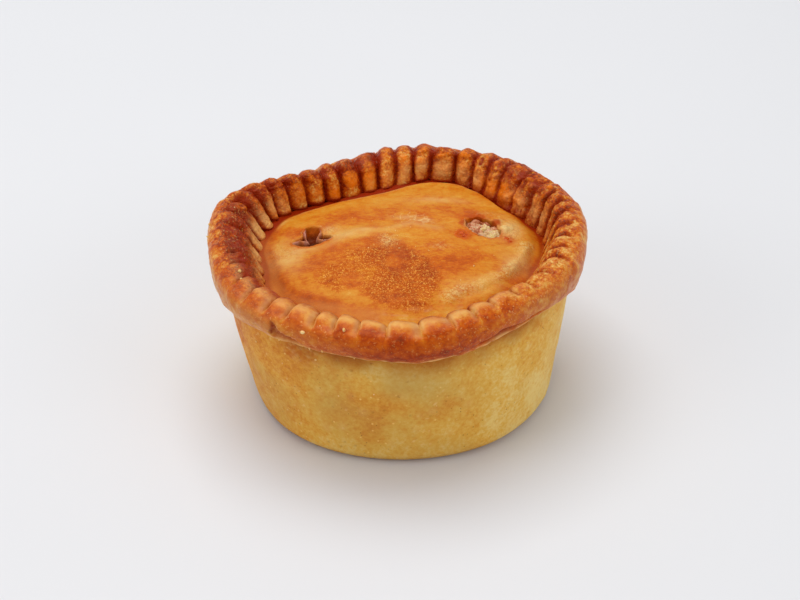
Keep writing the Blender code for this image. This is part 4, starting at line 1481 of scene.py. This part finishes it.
def build_stage():
    corners = [(x * FLOOR_REACH, y * FLOOR_REACH, 0) for x, y in ((-1, -1), (1, -1), (1, 1), (-1, 1))]
    floor = new_piece("floor", corners, [(0, 1, 2, 3)], floor_look(), {})
    world = bpy.data.worlds.new("studio")
    world.use_nodes = True
    sky = world.node_tree.nodes["Background"]
    sky.inputs["Color"].default_value = SKY_COLOUR
    sky.inputs["Strength"].default_value = SKY_STRENGTH
    bpy.context.scene.world = world
    for name, place, size, power in LIGHTS:
        light = bpy.data.lights.new(name, "AREA")
        light.shape = "SQUARE"
        light.size = size
        light.energy = power
        lamp = bpy.data.objects.new(name, light)
        lamp.location = place
        lamp.rotation_euler = aimed(np.array(LIGHTS_AIM) - np.array(place))
        bpy.context.collection.objects.link(lamp)


def aimed(direction):
    """Rotation that points an object's -Z along a direction."""
    x, y, z = direction / np.linalg.norm(direction)
    return (np.arccos(np.clip(-z, -1, 1)), 0, np.arctan2(-x, y))


def build_camera():
    data = bpy.data.cameras.new("camera")
    data.sensor_width = CAMERA_FILM
    data.lens = CAMERA_LENS
    data.clip_start = CAMERA_NEAREST
    camera = bpy.data.objects.new("camera", data)
    pitch = radians(CAMERA_PITCH)
    aim = np.array(CAMERA_AIM) - (MIDDLE[0], MIDDLE[1], 0)
    camera.location = aim + CAMERA_AWAY * np.array((0, -cos(pitch), sin(pitch)))
    camera.rotation_euler = (pi / 2 - pitch, 0, 0)
    bpy.context.collection.objects.link(camera)
    bpy.context.scene.camera = camera


# ---------------------------------------------------------------- making

build_camera()
build_stage()
bpy.context.scene.view_settings.view_transform = "Standard"

rim, rim_top, rim_station = build_rim(crust_look())
lid_material = lid_look()
lid, lid_top = build_lid(lid_material)
slit = vent_patch("slit_vent_lips", SLIT_PLACE, SLIT_REACH, lid_material, slit_shape)
opening = vent_patch("open_vent_lips", OPEN_PLACE, OPEN_REACH, lid_material, open_shape)
case, case_side, case_share = build_case(wall_look())
pork = build_pork(pork_look())
jelly = build_jelly(jelly_look())

# Where flour lies: surface, weight over it, number of grains, and smallest and largest half size in mm.
clear = slice(CLEAR_ROWS)
rim_bearing = np.arctan2(rim_top[..., 1], rim_top[..., 0])
rim_weight = 0.2 + around(rim_bearing, -128, 14) + around(rim_bearing, 190, 20)
rim_weight = rim_weight * rise(np.abs(rim_station - 1), 0.15, 0.5)
lid_x, lid_y = lid_top[..., 0], lid_top[..., 1]
lid_weight = hump(np.hypot(lid_x - 3 * MM, (lid_y - 2 * MM) * 1.2), 0, 9 * MM)
lid_weight = lid_weight * (1 - near_vents(lid_x, lid_y)) * np.hypot(lid_x, lid_y)
case_bearing = np.arctan2(case_side[..., 1], case_side[..., 0])
case_weight = 0.4 + 2.0 * around(case_bearing, -118, 8) * hump(case_share, 0.85, 0.12)
grains = scattered(rim_top, rim_station, (
    (rim_top[clear], rim_weight[clear] * (rim_station[clear] > 0.1), 12, 0.08, 0.2),
    (lid_top, lid_weight, 26, 0.08, 0.18),
    (case_side, case_weight * (case_share > 0.1) * (case_share < 0.93), 40, 0.08, 0.24)), flour_look())

for piece, node, slot_name in (
        (rim, "crimped_lid", "browned_pastry"), (lid, "crimped_lid", "browned_pastry"),
        (slit, "crimped_lid", "browned_pastry"), (opening, "crimped_lid", "browned_pastry"),
        (case, "pastry_case", "case_pastry"), (pork, "pork_filling", "cooked_pork"),
        (jelly, None, "cooked_pork"), (grains, None, "case_pastry")):
    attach(piece, "root")
    if node:
        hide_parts(node)
